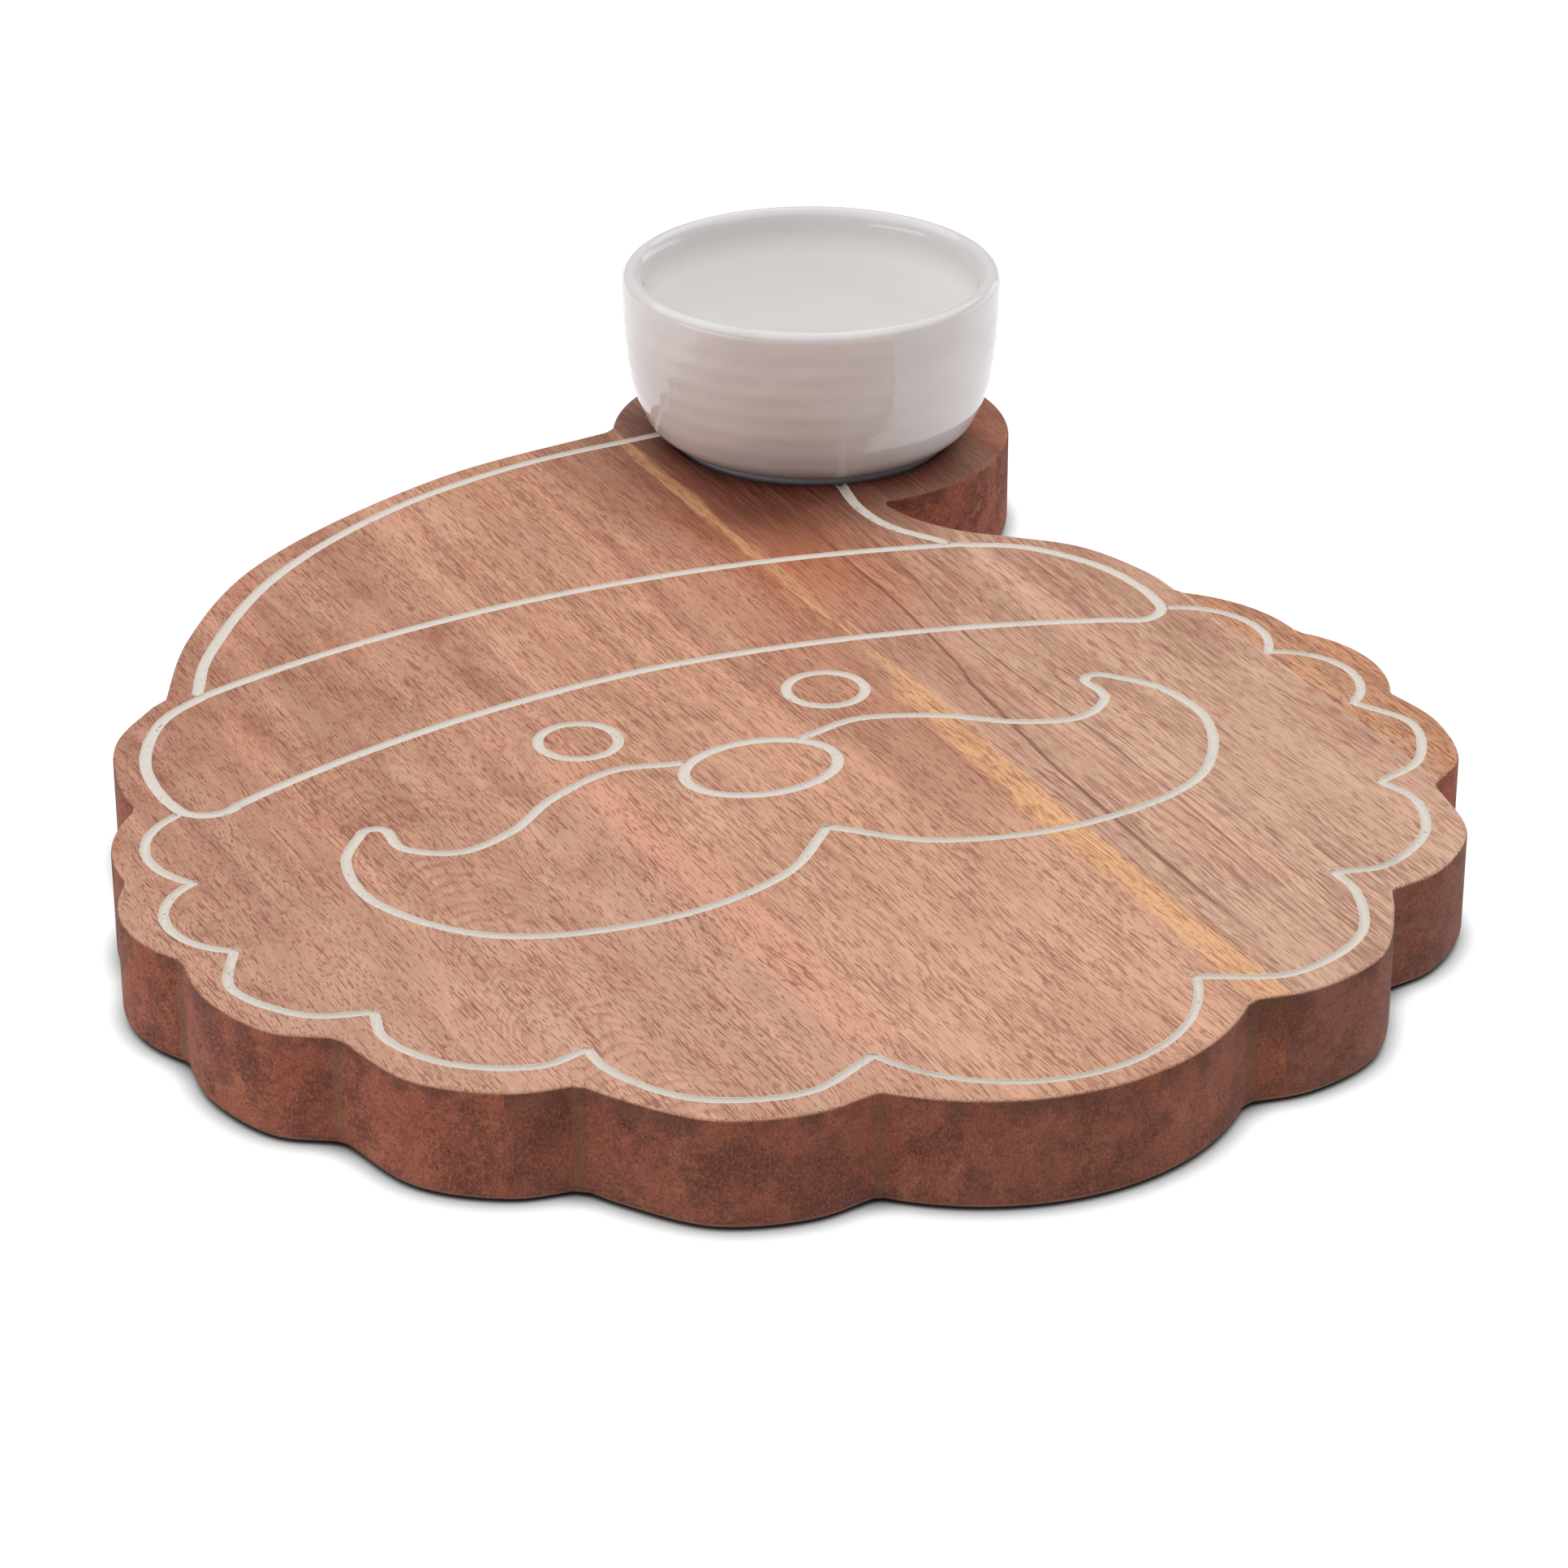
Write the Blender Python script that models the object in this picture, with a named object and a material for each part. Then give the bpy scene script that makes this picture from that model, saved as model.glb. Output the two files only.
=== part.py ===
"""Chip and dip server: an edge-glued board with infilled grooves and a lift-off bowl.

The board is cut as a bearded face in a bobble hat.  Its outline and its grooves are
drawn in the board's own plan, in millimetres: x runs across from the face's centre
line, y runs up from the eyes to the hat, and z runs up from the table.  Points given
for one side of the face are mirrored for the other.
"""

import math

import bmesh
import bpy

MM = 0.001

# Board
BOARD_THICK = 25.4
TOP_ROUND = 2.0
BOTTOM_ROUND = 3.0
HOLLOW_CORNER_ROUND = 3.0
GLUE_LINES = (-108.0, -29.0, 50.0, 131.0)
GAP = 0.3

# Bobble on the hat, with the bowl's shallow seat in its middle
BOBBLE_CENTRE = (97.5, 141.5)
BOBBLE_RADIUS = 50.5
SEAT_RADIUS = 37.2
SEAT_DEPTH = 2.0

# Grooves and their infill
INFILL_WIDTH = 2.6
INFILL_THICK = 1.3
INFILL_BELOW_TOP = 0.2

# Bowl, measured from its foot
BOWL_FOOT_RADIUS = 35.0
BOWL_RIM_RADIUS = 47.7
BOWL_HEIGHT = 45.2
LIP_ROUND = 2.5
FOOT_RING_WIDTH = 5.0
FOOT_RING_DEPTH = 1.2
FLOOR_THICK = 5.0
BOWL_SIDES = 48

# Outline, right side, from the chin up to the hat: each scallop's points, shared at corners
CHIN_EDGE = ((-42.0, -168.8), (0.0, -187.0), (42.0, -168.8))
SIDE_EDGE = (
    ((42.0, -168.8), (57.0, -170.6), (76.0, -164.4), (89.0, -148.5), (93.5, -140.5)),
    ((93.5, -140.5), (107.0, -137.6), (122.5, -124.5), (129.0, -102.0)),
    ((129.0, -102.0), (140.5, -93.5), (147.0, -74.0), (145.5, -57.5)),
    ((145.5, -57.5), (151.0, -42.0), (144.0, -20.0)),
    ((144.0, -20.0), (142.5, -6.5), (130.5, 12.0)),
)
BAND_END_EDGE = ((130.5, 12.0), (130.0, 24.0), (123.0, 45.5), (108.5, 60.5))
HAT_LEFT_EDGE = ((-106.5, 60.0), (-90.0, 90.0), (-60.0, 123.5), (0.0, 154.0), (51.5, 163.0))
HAT_RIGHT_EDGE = ((92.5, 90.0), (96.0, 76.0), (108.5, 60.5))

# Centre lines of the grooves
CHIN_LINE = ((-36.8, -155.7), (0.0, -181.0), (36.8, -155.7))
SIDE_LINE = (
    ((36.8, -155.7), (55.0, -163.0), (76.0, -155.3), (86.0, -138.0), (86.5, -128.5)),
    ((86.5, -128.5), (97.5, -130.6), (113.5, -121.5), (120.6, -106.5), (118.5, -96.0)),
    ((118.5, -96.0), (131.5, -90.8), (140.6, -74.0), (134.5, -59.0)),
    ((134.5, -59.0), (143.0, -44.0), (131.5, -27.0)),
    ((131.5, -27.0), (136.2, -11.5), (124.9, 4.0)),
)
BAND_TOP_LINE = ((0.0, 75.0), (50.0, 70.8), (97.0, 59.0))
BAND_END_LINE = ((97.0, 59.0), (110.0, 50.8), (121.0, 32.0), (123.3, 15.0), (122.4, 6.5))
BAND_CORNER_LINE = ((122.4, 6.5), (118.0, 1.8), (110.0, 3.5))
BAND_BOTTOM_LINE = ((110.0, 3.5), (60.0, 19.8), (0.0, 27.5))
HAT_LEFT_LINE = (
    (-97.5, 62.2), (-90.0, 77.0), (-60.0, 113.0), (-20.0, 139.0), (20.0, 151.7), (61.6, 155.0),
)
HAT_RIGHT_LINE = ((93.5, 63.5), (86.6, 76.5), (85.2, 90.0), (87.7, 104.8))
EYE_CENTRE_X = 30.8
EYE_RADIUS = 9.0
NOSE_CENTRE = (0.0, -29.8)
NOSE_RADII = (17.8, 12.9)
MOUSTACHE_UPPER_LINE = (
    (17.1, -19.7), (30.0, -17.0), (48.0, -24.0), (62.0, -34.5), (76.0, -38.4), (85.8, -31.5),
    (85.8, -22.5),
)
MOUSTACHE_TIP_LINE = ((85.8, -22.5), (87.8, -20.2), (91.0, -20.8))
MOUSTACHE_LOWER_LINE = (
    (91.0, -20.8), (99.0, -32.0), (100.4, -52.0), (84.0, -76.5), (50.0, -85.3), (18.0, -78.2),
    (0.0, -62.3),
)

# The board's strips: the edges they lie between, counted over the glue lines from the
# left, and how low and high they reach, since the last strip is cut into two pieces
STAVES = {
    "left_edge_stave": (0, 1, -400.0, 400.0),
    "left_stave": (1, 2, -400.0, 400.0),
    "middle_stave": (2, 3, -400.0, 400.0),
    "right_stave": (3, 4, -400.0, 400.0),
    "right_edge_stave": (4, 5, -400.0, 50.0),
    "bobble_edge_stave": (4, 5, 50.0, 400.0),
}

# The frame's origin is under the middle of the whole outline
OUTLINE_LOW_Y = CHIN_EDGE[1][1]
OUTLINE_HIGH_Y = BOBBLE_CENTRE[1] + BOBBLE_RADIUS
EYE_LINE_Y = -(OUTLINE_LOW_Y + OUTLINE_HIGH_Y) / 2

# Distances between the points of drawn curves
OUTLINE_STEP = 6.0
LINE_STEP = 5.0
CURVE_STEP = 6.0
GROOVE_RUN_ON = 2.0


# Plan geometry -----------------------------------------------------------------------


def arc_through(start, middle, end, step):
    """Points along the circle through three points, from the first to the last."""
    (ax, ay), (bx, by), (cx, cy) = start, middle, end
    twice_area = 2 * (ax * (by - cy) + bx * (cy - ay) + cx * (ay - by))
    a2, b2, c2 = ax * ax + ay * ay, bx * bx + by * by, cx * cx + cy * cy
    ox = (a2 * (by - cy) + b2 * (cy - ay) + c2 * (ay - by)) / twice_area
    oy = (a2 * (cx - bx) + b2 * (ax - cx) + c2 * (bx - ax)) / twice_area
    radius = math.hypot(ax - ox, ay - oy)
    first = math.atan2(ay - oy, ax - ox)
    sweep = math.atan2(cy - oy, cx - ox) - first
    left_turn = (bx - ax) * (cy - ay) - (by - ay) * (cx - ax) > 0
    sweep = sweep % math.tau if left_turn else -(-sweep % math.tau)
    count = max(3, round(radius * abs(sweep) / step))
    return [
        (ox + radius * math.cos(first + sweep * i / count),
         oy + radius * math.sin(first + sweep * i / count))
        for i in range(count + 1)
    ]


def curve_through(points, step):
    """Points along a smooth curve through the given ones (centripetal Catmull-Rom)."""
    if len(points) == 3:
        return arc_through(*points, step)
    first = tuple(2 * a - b for a, b in zip(points[0], points[1]))
    last = tuple(2 * a - b for a, b in zip(points[-1], points[-2]))
    ends = [first, *points, last]
    found = [points[0]]
    for p0, p1, p2, p3 in zip(ends, ends[1:], ends[2:], ends[3:]):
        t1 = math.dist(p0, p1) ** 0.5
        t2 = t1 + math.dist(p1, p2) ** 0.5
        t3 = t2 + math.dist(p2, p3) ** 0.5
        count = max(2, round(math.dist(p1, p2) / step))
        for i in range(1, count + 1):
            t = t1 + (t2 - t1) * i / count
            point = []
            for v0, v1, v2, v3 in zip(p0, p1, p2, p3):
                a1 = ((t1 - t) * v0 + t * v1) / t1
                a2 = ((t2 - t) * v1 + (t - t1) * v2) / (t2 - t1)
                a3 = ((t3 - t) * v2 + (t - t2) * v3) / (t3 - t2)
                b1 = ((t2 - t) * a1 + t * a2) / t2
                b2 = ((t3 - t) * a2 + (t - t1) * a3) / (t3 - t1)
                point.append(((t2 - t) * b1 + (t - t1) * b2) / (t2 - t1))
            found.append(tuple(point))
    return found


def mirrored(points):
    """The same points on the other side of the face, in the opposite order."""
    return [(-x, y) for x, y in reversed(points)]


def chained(*runs):
    """Runs of points joined end to end, without their shared points."""
    joined = list(runs[0])
    for run in runs[1:]:
        joined += run[1:]
    return joined


def ellipse(centre, radii, step):
    """Points round an ellipse, counterclockwise, without a repeated end point."""
    around = math.pi * (radii[0] + radii[1])
    count = max(16, round(around / step))
    return [
        (centre[0] + radii[0] * math.cos(math.tau * i / count),
         centre[1] + radii[1] * math.sin(math.tau * i / count))
        for i in range(count)
    ]


def bobble_arc(start, end, step):
    """The bobble's rim, counterclockwise, between the directions of two points."""
    x, y = BOBBLE_CENTRE
    first = math.atan2(start[1] - y, start[0] - x)
    sweep = (math.atan2(end[1] - y, end[0] - x) - first) % math.tau
    count = round(BOBBLE_RADIUS * sweep / step)
    return [
        (x + BOBBLE_RADIUS * math.cos(first + sweep * i / count),
         y + BOBBLE_RADIUS * math.sin(first + sweep * i / count))
        for i in range(count + 1)
    ]


def along(loop, start, step, reach):
    """The point that lies reach away from a corner along a loop, and its segment's index."""
    size = len(loop)
    index, left = start, reach
    while True:
        ahead = (index + step) % size
        here, there = loop[index], loop[ahead]
        length = math.dist(here, there)
        if length >= left:
            part = left / length
            return tuple(h + (t - h) * part for h, t in zip(here, there)), ahead
        left -= length
        index = ahead


def softened(loop, radius):
    """A counterclockwise loop with its sharp hollow corners rounded."""
    size = len(loop)
    dropped, rounds = set(), {}
    for i, corner in enumerate(loop):
        before, after = loop[i - 1], loop[(i + 1) % size]
        came = (corner[0] - before[0], corner[1] - before[1])
        goes = (after[0] - corner[0], after[1] - corner[1])
        turn = math.atan2(came[0] * goes[1] - came[1] * goes[0], came[0] * goes[0] + came[1] * goes[1])
        if turn > math.radians(-25):
            continue
        reach = radius * math.tan(-turn / 2) + radius / 4
        start, low = along(loop, i, -1, reach)
        end, high = along(loop, i, 1, reach)
        cut = (low + 1) % size
        while cut != high:
            dropped.add(cut)
            cut = (cut + 1) % size
        rounds[i] = [
            tuple((1 - t) ** 2 * s + 2 * t * (1 - t) * m + t * t * e
                  for s, m, e in zip(start, corner, end))
            for t in (0.0, 0.25, 0.5, 0.75, 1.0)
        ]
    found = []
    for i, point in enumerate(loop):
        if i in rounds:
            found += rounds[i]
        elif i not in dropped:
            found.append(point)
    return found


def board_outline(step):
    """The board's edge as one counterclockwise loop, starting at the chin."""
    side = [curve_through(points, step) for points in (*SIDE_EDGE, BAND_END_EDGE)]
    right = chained(*side)
    hat_right = curve_through(HAT_RIGHT_EDGE, step)[::-1]
    hat_left = curve_through(HAT_LEFT_EDGE, step)[::-1]
    bobble = bobble_arc(HAT_RIGHT_EDGE[0], HAT_LEFT_EDGE[-1], step)
    left = mirrored(right)
    chin = curve_through(CHIN_EDGE, step)
    loop = chained(chin, right, hat_right, bobble, hat_left, left)
    return softened(loop[:-1], HOLLOW_CORNER_ROUND)


def groove_lines(step):
    """Each groove's centre line by its infill's name, and whether it is a closed loop."""
    side = chained(*[curve_through(points, step) for points in SIDE_LINE])
    beard = chained(mirrored(side), curve_through(CHIN_LINE, step), side)
    band_half = chained(*[
        curve_through(points, step)
        for points in (BAND_TOP_LINE, BAND_END_LINE, BAND_CORNER_LINE, BAND_BOTTOM_LINE)
    ])
    band = chained(band_half, mirrored(band_half))[:-1]
    half_moustache = chained(*[
        curve_through(points, step)
        for points in (MOUSTACHE_UPPER_LINE, MOUSTACHE_TIP_LINE, MOUSTACHE_LOWER_LINE)
    ])
    moustache = chained(half_moustache, mirrored(half_moustache))
    eyes = [ellipse((side_x * EYE_CENTRE_X, 0.0), (EYE_RADIUS, EYE_RADIUS), step) for side_x in (-1, 1)]
    return {
        "hat_left_line": (curve_through(HAT_LEFT_LINE, step), False),
        "hat_right_line": (curve_through(HAT_RIGHT_LINE, step), False),
        "hat_band_line": (band, True),
        "beard_line": (beard, False),
        "moustache_line": (moustache, False),
        "nose_ring": (ellipse(NOSE_CENTRE, NOSE_RADII, step), True),
        "left_eye_ring": (eyes[0], True),
        "right_eye_ring": (eyes[1], True),
    }


# Solids ------------------------------------------------------------------------------


def neighbours(points, closed):
    """Each point of a line with the ones before and after it, or itself at an open end."""
    size = len(points)
    for i, point in enumerate(points):
        before = points[i - 1] if closed or i else point
        after = points[(i + 1) % size] if closed or i + 1 < size else point
        yield before, point, after


def shifted(points, distance, closed):
    """A line moved to its right by a distance, with mitred corners."""
    found = []
    for before, point, after in neighbours(points, closed):
        sides = []
        for start, end in ((before, point), (point, after)):
            length = math.dist(start, end)
            if length:
                sides.append(((end[1] - start[1]) / length, (start[0] - end[0]) / length))
        nx = sum(side[0] for side in sides) / len(sides)
        ny = sum(side[1] for side in sides) / len(sides)
        scale = distance / max(nx * nx + ny * ny, 0.2)
        found.append((point[0] + nx * scale, point[1] + ny * scale))
    return found


def at_height(points, z):
    """Plan points as space points in the part's own frame."""
    return [(x, y + EYE_LINE_Y, z) for x, y in points]


def skinned(rings, wraps):
    """A closed mesh of quads between rings of points; its ends are capped unless it wraps."""
    points = [point for ring in rings for point in ring]
    size, count = len(rings[0]), len(rings)
    faces = []
    for i in range(count if wraps else count - 1):
        low, high = i * size, (i + 1) % count * size
        faces += [(low + j, low + (j + 1) % size, high + (j + 1) % size, high + j) for j in range(size)]
    if not wraps:
        faces += [tuple(range(size))[::-1], tuple(range((count - 1) * size, count * size))]
    return points, faces


def board_blank(step):
    """The whole board before it is grooved, with both edges rounded."""
    outline = board_outline(step)
    rings = []
    for angle in (0, 45, 90):
        inset = BOTTOM_ROUND * (1 - math.sin(math.radians(angle)))
        z = BOTTOM_ROUND * (1 - math.cos(math.radians(angle)))
        rings.append(at_height(shifted(outline, -inset, True), z))
    for angle in (0, 45, 90):
        inset = TOP_ROUND * (1 - math.cos(math.radians(angle)))
        z = BOARD_THICK - TOP_ROUND + TOP_ROUND * math.sin(math.radians(angle))
        rings.append(at_height(shifted(outline, -inset, True), z))
    return skinned(rings, False)


def bar_along(line, closed, width, low, high, longer=0.0):
    """A bar of rectangular section along a line in plan, with its open ends made longer."""
    points = list(line)
    if longer and not closed:
        for end, inner in ((0, 1), (-1, -2)):
            stretch = longer / math.dist(points[end], points[inner])
            points[end] = tuple(e + (e - i) * stretch for e, i in zip(points[end], points[inner]))
    right = shifted(points, width / 2, closed)
    left = shifted(points, -width / 2, closed)
    rings = [
        at_height((r, l), low) + at_height((l, r), high)
        for r, l in zip(right, left)
    ]
    return skinned(rings, closed)


def turned(profile, sides):
    """A solid turned about Z from a profile of (radius, height), which starts and ends on Z."""
    points, faces = [(0.0, 0.0, profile[0][1])], []
    for radius, z in profile[1:-1]:
        points += [
            (radius * math.cos(math.tau * i / sides), radius * math.sin(math.tau * i / sides), z)
            for i in range(sides)
        ]
    points.append((0.0, 0.0, profile[-1][1]))
    rows, last = len(profile) - 2, len(points) - 1
    for i in range(sides):
        j = (i + 1) % sides
        faces.append((0, 1 + j, 1 + i))
        faces.append((last, 1 + (rows - 1) * sides + i, 1 + (rows - 1) * sides + j))
        for row in range(rows - 1):
            low, high = 1 + row * sides, 1 + (row + 1) * sides
            faces.append((low + i, low + j, high + j, high + i))
    return points, faces


def bowl_profile(step):
    """The bowl's section from the middle of its underside, out, over the lip and back in."""
    ring_inside = BOWL_FOOT_RADIUS - FOOT_RING_WIDTH
    foot = [
        (0.0, FOOT_RING_DEPTH), (ring_inside - FOOT_RING_DEPTH, FOOT_RING_DEPTH),
        (ring_inside, 0.0), (BOWL_FOOT_RADIUS, 0.0),
    ]
    wall = curve_through(
        ((BOWL_FOOT_RADIUS, 0.0), (36.3, 1.2), (41.4, 6.3), (44.9, 14.2), (46.9, 25.7),
         (BOWL_RIM_RADIUS, BOWL_HEIGHT - 6.5), (BOWL_RIM_RADIUS, BOWL_HEIGHT - LIP_ROUND)), step)
    lip = [
        (BOWL_RIM_RADIUS - LIP_ROUND + LIP_ROUND * math.cos(math.radians(angle)),
         BOWL_HEIGHT - LIP_ROUND + LIP_ROUND * math.sin(math.radians(angle)))
        for angle in range(0, 181, 30)
    ]
    inside = curve_through(
        (lip[-1], (42.6, 38.0), (41.8, 29.7), (40.0, 19.7), (36.0, 11.6), (28.0, 6.7),
         (14.0, FLOOR_THICK + 0.1), (0.0, FLOOR_THICK)), step)
    return chained(foot, wall, lip, inside)


# Objects -----------------------------------------------------------------------------


def material(name, color, roughness):
    made = bpy.data.materials.new(name)
    made.use_nodes = True
    shader = made.node_tree.nodes["Principled BSDF"]
    shader.inputs["Base Color"].default_value = (*color, 1.0)
    shader.inputs["Roughness"].default_value = roughness
    shader.inputs["Metallic"].default_value = 0.0
    return made


def add_object(name, mesh_data, surface=None, place=(0.0, 0.0, 0.0)):
    """A closed mesh, given in millimetres, as an object in metres at its own origin."""
    points, faces = mesh_data
    shape = bmesh.new()
    made = [shape.verts.new([value * MM for value in point]) for point in points]
    for face in faces:
        shape.faces.new([made[i] for i in face])
    bmesh.ops.recalc_face_normals(shape, faces=shape.faces)
    mesh = bpy.data.meshes.new(name)
    shape.to_mesh(mesh)
    shape.free()
    mesh.shade_smooth()
    mesh.set_sharp_from_angle(angle=math.radians(35))
    thing = bpy.data.objects.new(name, mesh)
    thing.location = [value * MM for value in place]
    bpy.context.scene.collection.objects.link(thing)
    if surface:
        mesh.materials.append(surface)
    else:
        thing.hide_render = True
        thing.display_type = "WIRE"
    return thing


def cut(thing, tool, operation):
    """Adds a Boolean with a tool to an object's modifiers."""
    step = thing.modifiers.new(tool.name, "BOOLEAN")
    step.operation = operation
    step.solver = "EXACT"
    step.object = tool


def box(low, high):
    corners = [
        (low[0], low[1]), (high[0], low[1]), (high[0], high[1]), (low[0], high[1]),
    ]
    return skinned([at_height(corners, z) for z in (low[2], high[2])], False)


def build_bowl(glaze):
    foot_z = BOARD_THICK - SEAT_DEPTH + GAP
    place = (BOBBLE_CENTRE[0], BOBBLE_CENTRE[1] + EYE_LINE_Y, foot_z)
    add_object("dip_bowl", turned(bowl_profile(CURVE_STEP), BOWL_SIDES), glaze, place)


def build_infill(lines, fill):
    high = BOARD_THICK - INFILL_BELOW_TOP
    for name, (line, closed) in lines.items():
        bar = bar_along(line, closed, INFILL_WIDTH, high - INFILL_THICK, high)
        add_object(name, bar, fill)


def groove_cutters(lines):
    low = BOARD_THICK - INFILL_BELOW_TOP - INFILL_THICK - GAP
    width = INFILL_WIDTH + 2 * GAP
    return [
        add_object(f"cutter_{name}", bar_along(line, closed, width, low, BOARD_THICK + 1, GROOVE_RUN_ON))
        for name, (line, closed) in lines.items()
    ]


def seat_cutter():
    floor = BOARD_THICK - SEAT_DEPTH
    profile = ((0.0, floor), (SEAT_RADIUS, floor), (SEAT_RADIUS, BOARD_THICK + 2), (0.0, BOARD_THICK + 2))
    place = (BOBBLE_CENTRE[0], BOBBLE_CENTRE[1] + EYE_LINE_Y, 0.0)
    return add_object("cutter_bowl_seat", turned(profile, BOWL_SIDES), place=place)


def build_staves(lines, wood):
    """The board's glued strips of wood: the blank cut along its glue lines, then grooved."""
    cutters = [*groove_cutters(lines), seat_cutter()]
    blank = board_blank(OUTLINE_STEP)
    far = 400.0
    edges = (-far, *GLUE_LINES, far)
    for name, bounds in STAVES.items():
        first, last, low_y, high_y = bounds
        stave = add_object(name, blank, wood)
        low = (edges[first] + GAP / 2, low_y, -5.0)
        high = (edges[last] - GAP / 2, high_y, BOARD_THICK + 5)
        cut(stave, add_object(f"cutter_{name}", box(low, high)), "INTERSECT")
        for cutter in cutters:
            cut(stave, cutter, "DIFFERENCE")


def build():
    for old in list(bpy.data.objects):
        bpy.data.objects.remove(old)
    wood = material("board_wood", (0.40, 0.20, 0.13), 0.45)
    fill = material("groove_fill", (0.76, 0.71, 0.64), 0.75)
    glaze = material("bowl_glaze", (0.86, 0.85, 0.83), 0.08)
    lines = groove_lines(LINE_STEP)
    build_staves(lines, wood)
    build_infill(lines, fill)
    build_bowl(glaze)


build()
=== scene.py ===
"""Looks of the chip and dip server: a grooved wooden board with a glazed bowl on it.

The board is drawn in plan, in millimetres: x runs across from the face's centre line and y
runs up from the eyes. Every strip of wood, every painted groove and the bowl is made again
here in fine mesh, and stands for its CAD node.
"""

import math

import bmesh
import bpy
from mathutils import Matrix, Vector, noise
from mathutils.kdtree import KDTree


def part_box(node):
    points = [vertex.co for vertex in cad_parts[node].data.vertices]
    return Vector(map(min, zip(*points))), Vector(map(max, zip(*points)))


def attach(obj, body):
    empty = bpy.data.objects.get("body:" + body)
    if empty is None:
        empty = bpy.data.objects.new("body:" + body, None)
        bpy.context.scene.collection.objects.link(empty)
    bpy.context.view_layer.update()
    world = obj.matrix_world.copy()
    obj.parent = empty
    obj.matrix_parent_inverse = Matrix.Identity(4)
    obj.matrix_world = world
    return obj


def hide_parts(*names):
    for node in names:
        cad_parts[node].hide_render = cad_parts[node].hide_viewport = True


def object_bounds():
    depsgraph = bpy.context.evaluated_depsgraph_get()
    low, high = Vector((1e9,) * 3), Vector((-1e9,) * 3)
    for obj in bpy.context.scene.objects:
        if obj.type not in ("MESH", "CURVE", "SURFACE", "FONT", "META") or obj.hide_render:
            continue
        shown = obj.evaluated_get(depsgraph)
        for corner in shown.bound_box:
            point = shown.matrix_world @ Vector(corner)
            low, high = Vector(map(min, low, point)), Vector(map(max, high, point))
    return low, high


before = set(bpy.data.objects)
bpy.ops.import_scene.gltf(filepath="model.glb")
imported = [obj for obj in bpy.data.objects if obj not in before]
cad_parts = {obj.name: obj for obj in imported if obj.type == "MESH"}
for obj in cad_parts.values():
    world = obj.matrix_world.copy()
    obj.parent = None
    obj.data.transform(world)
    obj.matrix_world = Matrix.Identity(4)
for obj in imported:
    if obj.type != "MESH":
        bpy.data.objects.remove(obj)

MM = 0.001
CAD_LOW, CAD_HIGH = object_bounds()

# --- Places read from the frame, in millimetres ---

BOARD_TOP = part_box("middle_stave")[1].z / MM
EYE_LINE_Y = sum(corner.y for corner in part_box("left_eye_ring")) / 2 / MM
BOWL_LOW, BOWL_HIGH = (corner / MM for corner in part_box("dip_bowl"))
BOWL_CENTRE = (BOWL_LOW + BOWL_HIGH) / 2
BOWL_HEIGHT = BOWL_HIGH.z - BOWL_LOW.z
BOWL_RADIUS = (BOWL_HIGH.x - BOWL_LOW.x) / 2


STRIPS = ("left_edge_stave", "left_stave", "middle_stave", "right_stave", "right_edge_stave")
GLUE_LINES = [
    (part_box(left)[1].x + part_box(right)[0].x) / 2 / MM for left, right in zip(STRIPS, STRIPS[1:])
]

# --- Board drawing, in plan ---

BOBBLE_CENTRE = (BOWL_CENTRE.x, BOWL_CENTRE.y - EYE_LINE_Y)
BOBBLE_RADIUS = 50.5
SEAT_RADIUS = 37.2
SEAT_GAP = 0.02
TOP_ROUND = 1.0
BOTTOM_ROUND = 3.0

CHIN_EDGE = ((-42.0, -168.8), (0.0, -187.0), (42.0, -168.8))
SIDE_EDGE = (
    ((42.0, -168.8), (57.0, -170.6), (76.0, -164.4), (89.0, -148.5), (93.5, -140.5)),
    ((93.5, -140.5), (107.0, -137.6), (122.5, -124.5), (129.0, -102.0)),
    ((129.0, -102.0), (140.5, -93.5), (147.0, -74.0), (145.5, -57.5)),
    ((145.5, -57.5), (151.0, -42.0), (144.0, -20.0)),
    ((144.0, -20.0), (142.5, -6.5), (130.5, 12.0)),
    ((130.5, 12.0), (130.0, 24.0), (123.0, 45.5), (108.5, 60.5)),
)
HAT_LEFT_EDGE = ((-106.5, 60.0), (-90.0, 90.0), (-60.0, 123.5), (0.0, 154.0), (51.5, 163.0))
HAT_RIGHT_EDGE = ((92.5, 90.0), (96.0, 76.0), (108.5, 60.5))

CHIN_LINE = ((-36.8, -155.7), (0.0, -181.0), (36.8, -155.7))
SIDE_LINE = (
    ((36.8, -155.7), (55.0, -163.0), (76.0, -155.3), (86.0, -138.0), (86.5, -128.5)),
    ((86.5, -128.5), (97.5, -130.6), (113.5, -121.5), (120.6, -106.5), (118.5, -96.0)),
    ((118.5, -96.0), (131.5, -90.8), (140.6, -74.0), (134.5, -59.0)),
    ((134.5, -59.0), (143.0, -44.0), (131.5, -27.0)),
    ((131.5, -27.0), (136.2, -11.5), (124.9, 4.0)),
)
BAND_TOP_LINE = ((0.0, 75.0), (50.0, 70.8), (97.0, 59.0))
BAND_END_LINE = ((97.0, 59.0), (110.0, 50.8), (121.0, 32.0), (123.3, 15.0), (122.4, 6.5))
BAND_CORNER_LINE = ((122.4, 6.5), (118.0, 1.8), (110.0, 3.5))
BAND_BOTTOM_LINE = ((110.0, 3.5), (60.0, 19.8), (0.0, 27.5))
HAT_LEFT_LINE = (
    (-97.5, 62.2), (-90.0, 77.0), (-60.0, 113.0), (-20.0, 139.0), (20.0, 151.7), (61.6, 155.0),
)
HAT_RIGHT_LINE = ((93.5, 63.5), (86.6, 76.5), (85.2, 90.0), (87.7, 104.8))
EYE_CENTRE_X = 30.8
EYE_RADIUS = 9.0
NOSE_CENTRE = (0.0, -29.8)
NOSE_RADII = (17.8, 12.9)
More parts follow.
